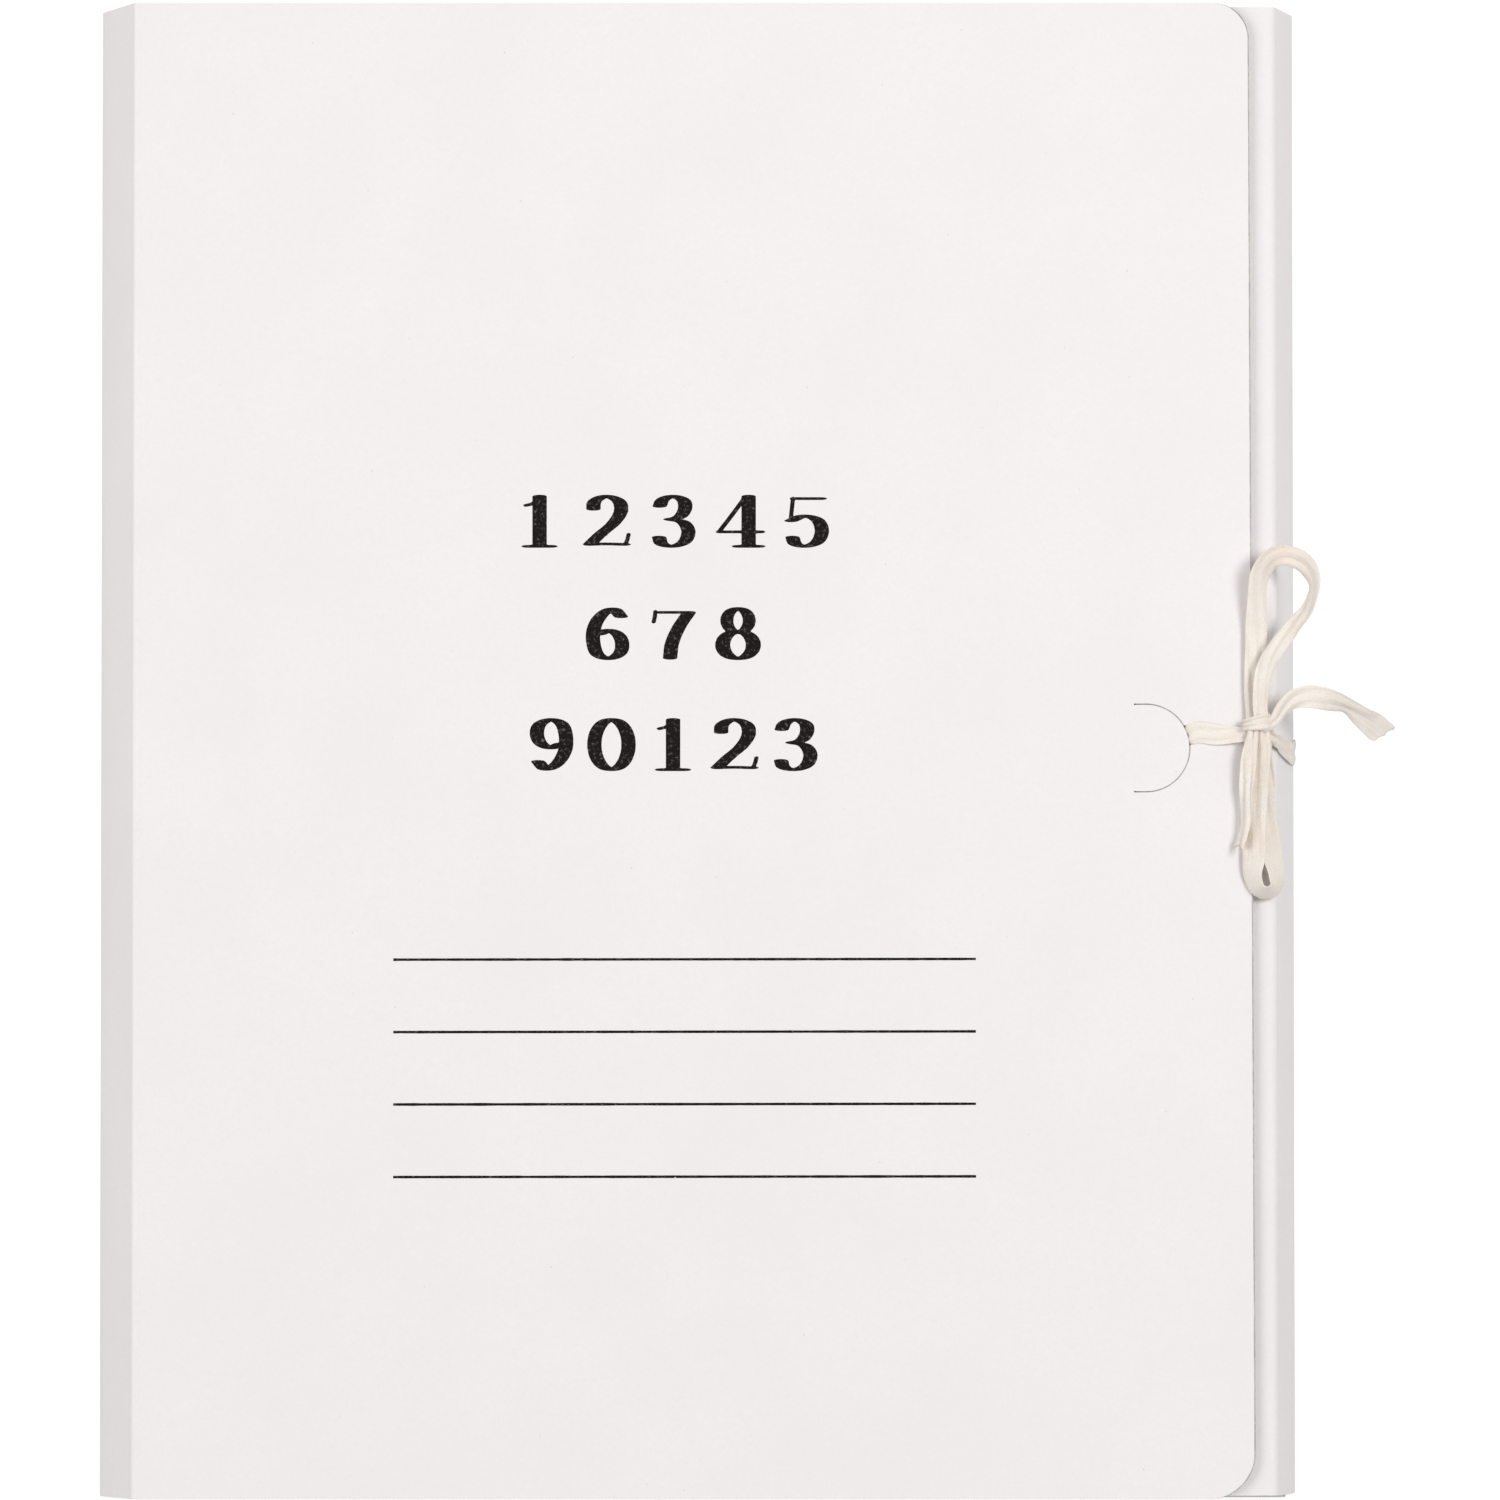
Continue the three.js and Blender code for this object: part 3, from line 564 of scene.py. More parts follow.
def weaveTape(stations, roundEdge=0.0, pleats=1.5, drift=0.05, frayStart=0, frayEnd=0, slant=0, bow=0,
              seed=1):
    # Stations are x, y, z, tilt and width. The section is a flat bar; where it is drawn in, it is
    # folded into waves deep enough to keep its real width, and the waves drift along the tape. For
    # its first roundEdge millimetres its width runs along the folder's edge, and then it turns level.
    # Where it starts it follows a circle of radius bow.
    along, centre, (tilt, width) = smoothLine(stations, tape["step"])
    kernel = np.hanning(tape["smooth"]) / np.hanning(tape["smooth"]).sum()
    tilt, width = (np.convolve(np.pad(values, tape["smooth"] // 2, mode="edge"), kernel, "valid")
                   for values in (tilt, width))
    way = unit(np.gradient(centre, axis=0))
    side = np.array([0.0, 1.0, 0.0])
    edgewise = unit(side - way * (way @ side)[:, None]) if roundEdge else 0
    turned = np.clip((along - roundEdge) / tape["turnLength"], 0, 1)[:, None] if roundEdge else 1
    flatwise = unit(np.cross(way, np.array([0.0, 0.0, 1.0]))) if np.any(turned) else 0
    level = unit(edgewise * (1 - turned) + flatwise * turned)
    angle = np.radians(tilt)[:, None]
    across = level * np.cos(angle) + np.cross(way, level) * np.sin(angle)
    up = np.cross(across, way)
    v = np.sin(np.linspace(-1, 1, tape["across"]) * math.pi / 2)[None, :]
    half = width[:, None] / 2
    # the slope at which a folded tape covers only this share of its width
    share = np.clip(width / tape["width"], tape["narrowest"], 1)[:, None]
    steep = np.sqrt(1 / share**2 - 1) * tape["foldShare"]
    phase = 2 * math.pi * drift * along[:, None] + seed
    turns = math.pi * pleats
    wave = steep * width[:, None] / (2 * turns)
    rng = np.random.default_rng(seed)
    lift = wave * np.cos(turns * v + phase)
    ripple = sum(tape["ripple"] * rng.uniform(0.4, 1) * np.sin(along[:, None] / rng.uniform(0.9, 2.6)
                 + v * rng.uniform(-2.5, 2.5) + rng.uniform(0, 6)) for _ in range(5))
    lift = lift + ripple * (0.35 + 0.65 * np.abs(v))
    slope = np.gradient(lift, axis=1) / np.gradient(half * v, axis=1)
    normalA, normalB = -slope / np.hypot(1, slope), 1 / np.hypot(1, slope)
    # half the thickness: nearly even, and falling off at both edges by a sixth power
    rounded = tape["edge"] + (1 - tape["edge"]) * np.sqrt(np.clip(1 - v**6, 0, 1))
    thick = tape["thickness"] / 2 * rounded * np.ones_like(half)
    reach = np.zeros_like(lift)
    rows, count = tape["frayRows"], tape["teeth"]
    for fray, ends, first, last in ((frayStart, slice(0, rows), 1, 0),
                                    (frayEnd, slice(-rows, None), 0, 1)):
        if fray:
            teeth = np.interp(v[0], np.linspace(-1, 1, count), rng.uniform(-1, 1, count))
            grow = np.linspace(first, last, rows)[:, None]
            reach[ends] += fray * grow * teeth[None, :] * (last - first)
    reach += slant * v * np.clip((along[:, None] - along[-1]) / 4 + 1, 0, 1) ** 2  # its last 4 mm
    if bow:
        sagitta = bow - np.sqrt(bow**2 - (half * v) ** 2)
        reach -= sagitta * np.clip(2 - along[:, None] / 2, 0, 1)  # whole for 2 mm, gone after 4

    def surface(sign):
        a = half * v + sign * normalA * thick
        b = lift + sign * normalB * thick
        return (centre[:, None] + across[:, None] * a[..., None] + up[:, None] * b[..., None]
                + way[:, None] * reach[..., None])

    flat = v[0] * tape["width"] / 2
    flat = np.concatenate([flat, flat[::-1] + 40])
    uv = np.stack(np.broadcast_arrays(flat[None, :], along[:, None]), -1)
    return {"points": np.concatenate([surface(1), surface(-1)[:, ::-1]], 1), "uv": uv, "centre": centre,
            "along": along, "across": across, "up": up, "way": way}


def looseThreads(cloth, count, seed):
    # Threads that have worked out of the tape's cut end: each starts inside the cloth, goes on along
    # the tape and curls away by the square of its length, as a thin five-sided tube
    rng = np.random.default_rng(seed)
    sides, steps = 5, 9
    column = rng.integers(1, tape["across"] - 1, count)
    start = (cloth["points"][-1, column] + cloth["points"][-1, 2 * tape["across"] - 1 - column]) / 2
    length = rng.uniform(*tape["threadLength"], count)[:, None, None]
    s = np.linspace(-0.3, 1, steps)[None, :, None]
    curl = (cloth["across"][-1] * rng.uniform(-0.6, 0.6, (count, 1, 1))
            + cloth["up"][-1] * rng.uniform(-0.2, 0.5, (count, 1, 1)))
    line = start[:, None] + cloth["way"][-1] * s * length + curl * length * np.clip(s, 0, 1) ** 2
    angle = np.linspace(0, 2 * math.pi, sides, endpoint=False)
    ring = np.cos(angle)[:, None] * cloth["across"][-1] + np.sin(angle)[:, None] * cloth["up"][-1]
    radius = (tape["threadRadius"] * (1 - 0.5 * np.clip(s, 0, 1)))[..., None]
    points = line[:, :, None] + ring * radius
    one = tubeFaces(steps, sides)
    faces = [[i + k * steps * sides for i in face] for k in range(count) for face in one]
    return points.reshape(-1, 3), faces


def tapePiece(name, cloth, first=0, last=None, threads=0, seed=1):
    # The mesh of the tape between two of its rows
    points = cloth["points"][first:last]
    uv = cloth["uv"][first:last].reshape(-1, 2)
    faces = turnOut(points.reshape(-1, 3), tapeFaces(len(points), tape["across"]))
    curved = 2 * tape["across"] * (len(points) - 1)
    points = points.reshape(-1, 3)
    if threads:
        loose, looseFaces = looseThreads(cloth, threads, seed)
        looseFaces = [[i + len(points) for i in face] for face in turnOut(loose, looseFaces)]
        points, faces = np.vstack([points, loose]), faces + looseFaces
        uv = np.vstack([uv, np.tile(uv[-1:], (len(loose), 1))])
    piece = meshPiece(name, points, faces, cottonMaterial, uv)
    ends = np.arange(len(faces)) - curved
    piece.data.polygons.foreach_set("use_smooth", (ends < 0) | (ends >= 2 * (tape["across"] - 1)))
    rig.slot(piece, "cotton_tape")
    return piece


def fromKnot(rows):
    return [[*(knotCentre + row[:3]), row[3], row[4]] for row in rows]


upperLoop = fromKnot([
    [-0.9, 2.4, -0.9, 0, 3.0], [-0.8, 6.5, -1.2, 0, 3.8], [-0.4, 12.5, -1.5, 8, 4.6],
    [-0.2, 20.0, -1.2, 18, 4.7], [0.0, 26.5, 0.0, 34, 4.9], [0.5, 30.9, 1.6, 32, 4.8],
    [2.4, 33.7, 3.2, 22, 4.4], [5.0, 34.6, 4.2, 14, 4.2], [7.9, 33.8, 4.9, 22, 4.5],
    [10.3, 31.8, 5.0, 48, 5.1], [11.5, 28.2, 4.6, 66, 5.2], [10.2, 23.7, 3.9, 62, 5.0],
    [6.8, 19.4, 3.2, 44, 4.6], [3.9, 15.8, 2.6, 30, 4.2], [1.5, 11.4, 1.9, 16, 3.7],
    [0.6, 7.0, 1.4, 6, 3.2], [0.5, 2.4, 0.9, 0, 3.0]])
lowerLoop = fromKnot([
    [1.0, -2.4, 0.2, 0, 2.7], [0.9, -5.3, 0.1, 2, 3.6], [0.2, -11.1, -0.1, 6, 4.2],
    [-0.3, -17.0, -0.1, 14, 4.5], [-0.7, -22.8, 0.0, 28, 5.0], [-0.8, -27.8, 0.3, 32, 5.3],
    [-1.1, -31.4, 0.4, 50, 5.3], [-0.2, -34.2, 0.3, 58, 5.3], [1.7, -35.1, 0.1, 60, 5.3],
    [3.5, -34.0, -0.2, 60, 5.3], [3.8, -31.2, -0.5, 50, 5.3], [3.0, -27.2, -1.0, 32, 5.3],
    [1.9, -20.0, -1.6, 12, 4.7], [1.7, -14.0, -2.0, 4, 4.4], [1.4, -8.2, -1.9, 0, 3.7],
    [1.0, -2.4, -1.3, 0, 3.0]])
rightTail = fromKnot([
    [3.5, 0.7, 0.4, 20, 2.4], [5.2, 3.0, 0.9, 28, 3.4], [7.4, 4.8, 1.1, 22, 4.4],
    [9.9, 5.5, 0.9, 8, 4.8], [12.8, 5.3, 0.2, 4, 4.9], [16.0, 4.6, -0.9, 26, 4.8],
    [19.0, 3.4, -2.4, 54, 4.6], [21.6, 1.7, -4.2, 34, 4.9], [24.2, 0.0, -6.4, 6, 5.5],
    [26.6, -1.9, -8.8, 0, 5.7]])
lowerTail = fromKnot([
    [-1.0, -2.2, 0.9, 0, 2.3], [-1.9, -7.5, 1.2, 8, 3.4], [-2.3, -12.4, 1.0, 35, 3.4],
    [-2.5, -17.0, 0.7, 58, 3.4], [-3.0, -22.6, 0.4, 66, 3.4], [-4.0, -25.8, 0.2, 50, 3.2]])


def frontSlotAt(radius, z):
    (x, y), turn, _ = slots["front"]
    turn = math.radians(turn)
    return [x + radius * math.cos(turn), y + radius * math.sin(turn), z, 0, tape["inSlot"]]


frontRun = [
    frontSlotAt(8.87, 19.375), frontSlotAt(9.15, 19.55), frontSlotAt(9.28, 20.0),
    frontSlotAt(9.45, 20.45), frontSlotAt(9.95, 20.62), frontSlotAt(11.225, 20.625),
    [107.1, 2.95, 20.725, 0, 4.3], [110.3, 2.9, 21.025, -8, 3.8], [113.3, 3.0, 21.65, -10, 3.0]]


def onWall(along, y, width, clear):
    # the middle of a tape 0.45 mm thick that stands this far clear of the wall's outer face
    off = halfBoard + clear + 0.225
    return [foreFold - along * math.cos(wallAngle) + off * math.sin(wallAngle), y,
            halfBoard + along * math.sin(wallAngle) + off * math.cos(wallAngle), 0, width]


backUnder = [[x, 0.2, z, 0, 5.3] for x, z in ((102.225, 0.875), (102.525, 0.875), (103.36, 0.625),
                                              (104.1, 0.375), (106.1, 0.375), (123.2, 0.375))]
backUnder.append([124.55, 0.1, 0.75, 0, 5.3])
backWrap = [onWall(1.6, -0.3, 4.9, 0.15), onWall(6.79, -0.2, 4.4, 0.2),
            onWall(11.89, 0.3, 4.0, 0.25), onWall(16.98, 1.1, 3.7, 0.35)]
backLead = [onWall(18.48, 1.4, 3.5, 0.5), [120.4, 1.9, 19.9, 0, 3.3], [118.8, 2.9, 21.3, 0, 2.9]]


def makeTapes():
    # The front tape, and the back tape, which is cut in two pieces at the top of the fore-edge wall:
    # the lower one stays with the wall and the upper one with the bow
    frontThrough = [[*(knotCentre + [-0.9, -0.6, -0.5]), 0, 3.0]]
    frontBack = [[*(knotCentre + [1.2, -0.4, 0.6]), 0, 3.0]]
    front = weaveTape(frontRun + frontThrough + upperLoop + frontBack + rightTail, pleats=2, frayEnd=0.5,
                      slant=-1.3, bow=9.1, seed=3)
    piece = tapePiece("front_tape", front, threads=9, seed=2)
    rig.replaces(piece, "front_tie_run", "bow_upper_loop", "bow_right_tail")
    declareCord(piece, front["centre"])

    backThrough = [[*(knotCentre + [1.6, 0.2, -0.4]), 0, 2.8]]
    backReturn = [[*(knotCentre + [-0.6, 0.2, 0.4]), 0, 2.6]]
    under = sum(np.linalg.norm(np.diff(np.array(backUnder + backWrap)[:, :3], axis=0), axis=1))
    back = weaveTape(backUnder + backWrap + backLead + backThrough + lowerLoop + backReturn + lowerTail,
                     roundEdge=under + 2.5, pleats=2, frayEnd=0.6, seed=8)
    seam = int(np.argmax(back["along"] > under + 0.3))  # the first row past the cut
    piece = tapePiece("back_tape_wrap", back, last=seam + 1)
    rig.replaces(piece, "back_tie_under_run", "back_tie_wrap")
    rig.blend(piece, "back", "fore_wall", (124.0 * mm, 0, 0.3 * mm), (124.7 * mm, 0, 1.3 * mm))
    piece = tapePiece("back_tape", back, first=seam, threads=8, seed=5)
    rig.replaces(piece, "back_tie_lead", "bow_lower_loop", "bow_lower_tail")
    declareCord(piece, back["centre"][seam:])
    dressAnchor("front_tie_anchor", *slots["front"])
    dressAnchor("back_tie_anchor", *slots["back"])


def declareCord(piece, line):
    length = np.linalg.norm(np.diff(line, axis=0), axis=1).sum()
    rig.cord(piece, exit=(line[0] * mm), length=length * mm, diameter=tape["width"] * mm,
            far_end="bare", stiffness="limp", lay="loose", path=(line * mm).tolist())
    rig.ride(piece, "cover")
    print(piece.name, round(length, 1), "mm")


def dressAnchor(node, centre, turn, body):
    low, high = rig.box(node)
    turn = math.radians(turn)
    way = np.array([math.cos(turn), math.sin(turn)])
    z = (low.z + high.z) / 2 / mm
    # from the glued end to the slot, by distance from the slot's centre
    stations = [[*(np.array(centre) + way * r), z, 0, tape["width"]] for r in (-17.2, -8, 0, 8.6)]
    piece = tapePiece(node + "_cloth", weaveTape(stations, frayStart=0.4, seed=11))
    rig.replaces(piece, node)
    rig.ride(piece, body)


makeTapes()
print("tapes made")

knot = {
    "radius": 2.4,
    "flattening": 0.9,
    "width": 3.1,
    "bulge": 0.3,  # how far the fold at its left stands out
    "rise": 0.35,  # its right side lies this much nearer the head
}


def makeKnot():
    # One turn of drawn-in tape round the strands: a station every 20 degrees of an oval about Y,
    # both ends underneath
    angle = np.radians(np.arange(-95, 276, 20))
    radius = knot["radius"] + knot["bulge"] * np.clip(-np.cos(angle), 0, 1) ** 4
    x = knotCentre[0] + radius * np.cos(angle)
    y = knotCentre[1] + knot["rise"] * np.cos(angle)
    z = knotCentre[2] + radius * knot["flattening"] * np.sin(angle)
    width = knot["width"] * (1 - 0.16 * np.clip(-np.cos(angle), 0, 1) + 0.1 * np.cos(angle))
    stations = np.stack([x, y, z, 5 * np.sin(angle * 2), width], 1)
    piece = tapePiece("bow_knot_wrap", weaveTape(stations, roundEdge=99, pleats=2.6, drift=0.03, seed=4))
    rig.replaces(piece, "bow_knot")
    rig.ride(piece, "cover")


makeKnot()
print("knot made")


def finishSolids():
    for name, node in frame["nodes"].items():
        cotton = "tie" in name or "bow" in name
        finish = patchMaterial if "patch" in name else cottonMaterial if cotton else boardMaterial
        if not node.material_slots:
            node.data.materials.append(finish)
        for slot in node.material_slots:
            slot.material = finish


finishSolids()
print("solids finished")

crease = {
    "reach": 1.7,  # from the fold out over each panel
    "tabReach": 0.8,
    "bend": 0.45,  # radius of the fold, on the middle of the board
    "proud": 0.03,
    "taper": 0.8,  # length over which each end sinks into the board
    "sink": 0.13,
    "rows": 25,
    "end": 0.04,  # first and last step, so that its flat ends don't shade its faces
}
# Outer face of the fold at the top of the fore-edge wall, x and z: round and drawn up, as there is
# nothing inside the folder to press it flat. It starts in the wall and ends in the flap.
roundFold = [(121.0, 13.6), (120.72, 14.9), (120.47, 16.2), (120.33, 16.9), (120.14, 17.6),
             (119.86, 18.12), (119.4, 18.5), (118.8, 18.68), (118.1, 18.72), (117.3, 18.68),
             (116.4, 18.6), (115.4, 18.53), (113.8, 18.49), (111.6, 18.47), (109.4, 18.455),
             (108.0, 18.44)]


def makeCrease(name, hinge, first, second, span, bodies, alongX=False, outside=None):
    # Profile: straight along one panel, an arc about the fold, straight along the other; its two
    # faces stand off the middle of the board by a half thickness that sinks in at the ends. The
    # outer face can be given instead, as points for a smooth line.
    hinge, first, second = (np.array(p, float) for p in (hinge, first, second))
    first, second = unit(first), unit(second)
    inside = math.acos(np.clip(first @ second, -1, 1))
    flatFold = abs(inside - math.pi) < 0.01
    cut = 0.3 if flatFold else crease["bend"] / math.tan(inside / 2)
    reach = crease["tabReach"] if flatFold else crease["reach"]
    straight = np.linspace(reach, cut, 8)[:, None]
    fold = hinge
    if not flatFold:  # each point of the arc mixes its two ends, by the sines of the angles from them
        middle = unit(first + second)
        centre = hinge + middle * crease["bend"] / math.sin(inside / 2)
        start = hinge + first * cut - centre
        end = hinge + second * cut - centre
        share = np.linspace(0, 1, 11)[1:-1, None]
        total = math.acos(np.clip(unit(start) @ unit(end), -1, 1))
        mix = np.sin((1 - share) * total) * start + np.sin(share * total) * end
        fold = centre + mix / math.sin(total)
    line = np.vstack([hinge + straight * first, fold, hinge + straight[::-1] * second])
    way = unit(np.gradient(line, axis=0))
    out = np.stack([-way[:, 1], way[:, 0]], 1)
    run = np.insert(np.cumsum(np.linalg.norm(np.diff(line, axis=0), axis=1)), 0, 0)
    share = np.minimum(run, run[-1] - run) / crease["taper"]
    off = (halfBoard + crease["proud"] / (8 if flatFold else 1)) * np.ones_like(run)
    off = off - crease["sink"] * (1 - np.clip(share, 0, 1)) ** 2
    left, right = line + out * off[:, None], line - out * off[:, None]
    if outside:
        inner = left if np.sum(out @ middle) > 0 else right
        left = smoothLine([[x, 0, z] for x, z in outside], 0.15)[1][:, [0, 2]]
        share = np.linspace(0, 1, len(left))
        right = np.stack([np.interp(share, run / run[-1], inner[:, k]) for k in (0, 1)], 1)
    ring = np.vstack([left, right[::-1]])
    low, high = span
    steps = np.linspace(low + crease["end"], high - crease["end"], crease["rows"])
    rows = np.array([low, *steps, high])
    a, b = np.broadcast_arrays(ring[None, :, 0], rows[:, None])
    c = np.broadcast_to(ring[None, :, 1], a.shape)
    points = (np.stack([b, a, c], -1) if alongX else np.stack([a, b, c], -1)).reshape(-1, 3)
    faces = turnOut(points, tapeFaces(len(rows), len(ring) // 2))
    piece = meshPiece(name, points, faces, boardMaterial)
    sides = len(faces) - 2 * (len(ring) // 2 - 1)  # the faces that close its ends come last
    piece.data.polygons.foreach_set("use_smooth", np.arange(len(faces)) < sides)
    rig.slot(piece, "white_board")
    place = (lambda p: (0, p[0] * mm, p[1] * mm)) if alongX else (lambda p: (p[0] * mm, 0, p[1] * mm))
    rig.blend(piece, bodies[0], bodies[1], place(hinge + 0.6 * first), place(hinge + 0.6 * second))


def leaning(degrees, way):
    # direction in a section: this steep, to +X or +Y when way is 1
    angle = math.radians(degrees)
    return np.array([way * math.cos(angle), math.sin(angle)])


def makeCreases():
    left, right = (-1, 0), (1, 0)
    spineUp = leaning(68.449, 1)
    wallUp = np.array([-math.cos(wallAngle), math.sin(wallAngle)])
    makeCrease("crease_back_spine", (-124.4, 0.25), right, spineUp, (-154.45, 154.45), ("back", "spine"))
    makeCrease("crease_spine_cover", (-116.6, 20.0), -spineUp, right, (-154.95, 154.95),
               ("spine", "cover"))
    for label, span in (("tail", (-154.3, -2.8)), ("head", (3.2, 154.3))):  # the tape passes between
        makeCrease("crease_back_fore_" + label, (foreFold, 0.25), left, wallUp, span,
                   ("back", "fore_wall"))
    makeCrease("crease_fore_flap", (119.6, 18.2), -wallUp, left, (-154.3, 154.3),
               ("fore_wall", "fore_flap"), outside=roundFold)
    for end, way in (("head", 1), ("tail", -1)):
        up = leaning(80.08, -way)
        makeCrease("crease_back_" + end, (155.0 * way, 0.25), (-way, 0), up, (-122.3, 122.3),
                   ("back", end + "_wall"), alongX=True)
        makeCrease("crease_flap_" + end, (152.0 * way, 17.4), -up, (-way, 0), (-114.9, 117.0),
                   (end + "_wall", end + "_flap"), alongX=True)
    makeCrease("crease_front_tab", (90.6, 20.0), left, right, (-8.7, 9.1), ("cover", "front_tab"))
    makeCrease("crease_back_tab", (91.0, 0.25), left, right, (-8.7, 9.1), ("back", "back_tab"))


makeCreases()

slit = {
    "radius": 9.1,
    "lead": 2.3,  # straight stretch at each end of the arc
    "cut": 0.25,
    "fibres": (0.225, 0.09),  # how far torn fibres reach into the cut: at its middle, at its ends
    "tape": 2.12,  # half of the folded tape that comes through it
    "openWide": 2.9,  # half width of the opened cut at the tape
    "opened": 1.85,  # its depth
    "tornOver": 6,  # the fibres grow over this length from each end
}


def bandPiece(name, inner, outer, low, high, material, body):
    # Closed strip between two lines of equally many points, from one height to another
    count = len(inner)
    ring = np.stack([np.column_stack([line, np.full(count, z)]) for line, z in
                     ((inner, low), (outer, low), (outer, high), (inner, high))], 1)
    points = ring.reshape(-1, 3)
    piece = meshPiece(name, points, turnOut(points, tubeFaces(count, 4)), material, smooth=False)
    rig.slot(piece, "white_board")
    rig.ride(piece, body)


def makeSlit(name, level, centre, turn, body):
    # Lips: the board beside the tape, between two circles about the slot's centre and from the
    # tape's edge to past the end of the opened cut
    centre = np.array(centre)
    rim = slit["radius"] + slit["cut"] / 2
    radius = np.linspace(rim, slit["radius"] + slit["opened"], 10)
    for side, label in ((1, "head"), (-1, "tail")):
        near = math.radians(turn) + side * np.arcsin(slit["tape"] / radius)
        far = math.radians(turn) + side * (np.arcsin(slit["openWide"] / radius) + 0.01)
        lines = [centre + np.stack([np.cos(a), np.sin(a)], 1) * radius[:, None] for a in (near, far)]
        bandPiece(f"{name}_lip_{label}", *lines, level - halfBoard, level + halfBoard + 0.005,
                  boardMaterial, body)
    # Fibres: strips along the outer side of the cut, from each end of it to the tape, with an
    # uneven inner edge
    rng = np.random.default_rng(31)
    lead = np.linspace(-slit["lead"], 0, 12, endpoint=False)[:, None]
    for side, label in ((1, "head"), (-1, "tail")):
        stop = math.radians(turn) * side + math.asin(slit["tape"] / rim)
        angle = side * np.linspace(math.pi / 2, stop, 90)
        around = np.stack([np.cos(angle), np.sin(angle)], 1)
        outward = np.vstack([np.tile(around[:1], (len(lead), 1)), around])
        start = np.vstack([lead * [1, 0], around * 0])
        along = np.insert(np.cumsum(np.linalg.norm(np.diff(start + outward * rim, axis=0), axis=1)), 0, 0)
        middle, ends = slit["fibres"]
        unevenReach = ends + (middle - ends) * np.clip(along / slit["tornOver"], 0, 1)
        unevenReach = unevenReach * (0.85 + 0.3 * evened(rng.uniform(0, 1, len(along) + 4)))
        edge = centre + start + outward * (rim - unevenReach)[:, None]
        back = centre + start + outward * (rim + 0.03)
        bandPiece(f"{name}_fibres_{label}", edge, back, level - 0.12, level + 0.22, coreAndEdgeShadowMaterial, body)


makeSlit("front_slit", 20.0, *slots["front"])
makeSlit("back_slit", 0.25, *slots["back"])
print("creases and slits made")

# a painted shadow line along the cover's free edge
edgeShadowLine = {
    "tail": (-1, 115.2, 9.5),  # side, x where the straight edge would meet it, radius of the corner
    "head": (1, 114.4, 7.5),
    "half": 155.0,  # half the cover's height
    "in": 0.16,
    "out": 0.08,
    "low": 19.8,
    "high": 20.262,
    "taper": 18,  # points over which it narrows at each end
    "points": 240,
}


def makeEdgeShadowLine():
    # A painted shadow line: a thin grey strip of uneven width along the cover's free edge, over its face and a little
    # past it, where the gap between the cover's edge and the flap below lies in shade. The strip follows the edge from
    # the tail to the head, round both corners.
    lean = (edgeShadowLine["tail"][1] - edgeShadowLine["head"][1]) / (2 * edgeShadowLine["half"])
    lines, outs = [], []
    for sign, x, radius in (edgeShadowLine["tail"], edgeShadowLine["head"]):
        angle = np.linspace(min(sign, 0), max(sign, 0), 40) * math.pi / 2
        around = np.stack([np.cos(angle), np.sin(angle)], 1)
        middle = np.array([x - radius - sign * lean * radius, sign * (edgeShadowLine["half"] - radius)])
        lines.append(middle + around * radius)
        outs.append(around)
    share = np.linspace(0, 1, edgeShadowLine["points"])[1:-1, None]
    line = np.vstack([lines[0], lines[0][-1] * (1 - share) + lines[1][0] * share, lines[1]])
    out = np.vstack([outs[0], np.tile([[1.0, 0.0]], (len(share), 1)), outs[1]])
    rng = np.random.default_rng(7)
    unevenReach = 0.6 + 0.8 * evened(rng.uniform(0, 1, len(line) + 4))[:, None]
    place = np.arange(len(line))[:, None]
    unevenReach = unevenReach * np.clip(np.minimum(place, len(line) - 1 - place) / edgeShadowLine["taper"], 0.1, 1)
    bandPiece("front_cover_edge_shadow_line", line - out * edgeShadowLine["in"] * unevenReach,
              line + out * edgeShadowLine["out"] * unevenReach, edgeShadowLine["low"], edgeShadowLine["high"], coreAndEdgeShadowMaterial,
              "cover")


makeEdgeShadowLine()
print("cover's edge made")

ruled = {
    "left": -62.85, "right": 57.63, "thick": 0.55,
    "rows": (-43.62, -58.6, -73.56, -88.55),
    "rise": 0.15,  # the right end stands this much higher
    "waver": 0.025,
    "points": 300,
}
inkLow, inkHigh = 20.24, 20.262  # the cover's face lies at 20.25


def makeRules():
    # Each line is a long flat bar whose edges waver by a few hundredths of a millimetre
    for number, y in enumerate(ruled["rows"]):
        rng = np.random.default_rng(20 + number)
        x = np.linspace(ruled["left"], ruled["right"], ruled["points"])
        middle = y + ruled["rise"] * (x - x[0]) / (x[-1] - x[0])
        edge = ruled["thick"] / 2 + evened(rng.normal(0, ruled["waver"], len(x) + 4))
        bandPiece(f"ruled_line_{number + 1}", np.column_stack([x, middle - edge]),
                  np.column_stack([x, middle + edge]), inkLow, inkHigh, inkMaterial, "cover")


makeRules()
print("ruled lines made")

numerals = {
    "field": (8.6, 11.0),
    "stretch": 1.22,  # the digits are wider than the field that they are written in
    "nib": (1.5, 0.3),  # half width and half height of the oval nib
    "rows": ((47.2, 65.8, "12345"), (23.9, 37.4, "678"), (0.9, 61.0, "90123")),  # middle height, width
    "centre": -5.0,
    "grid": 0.2,
}
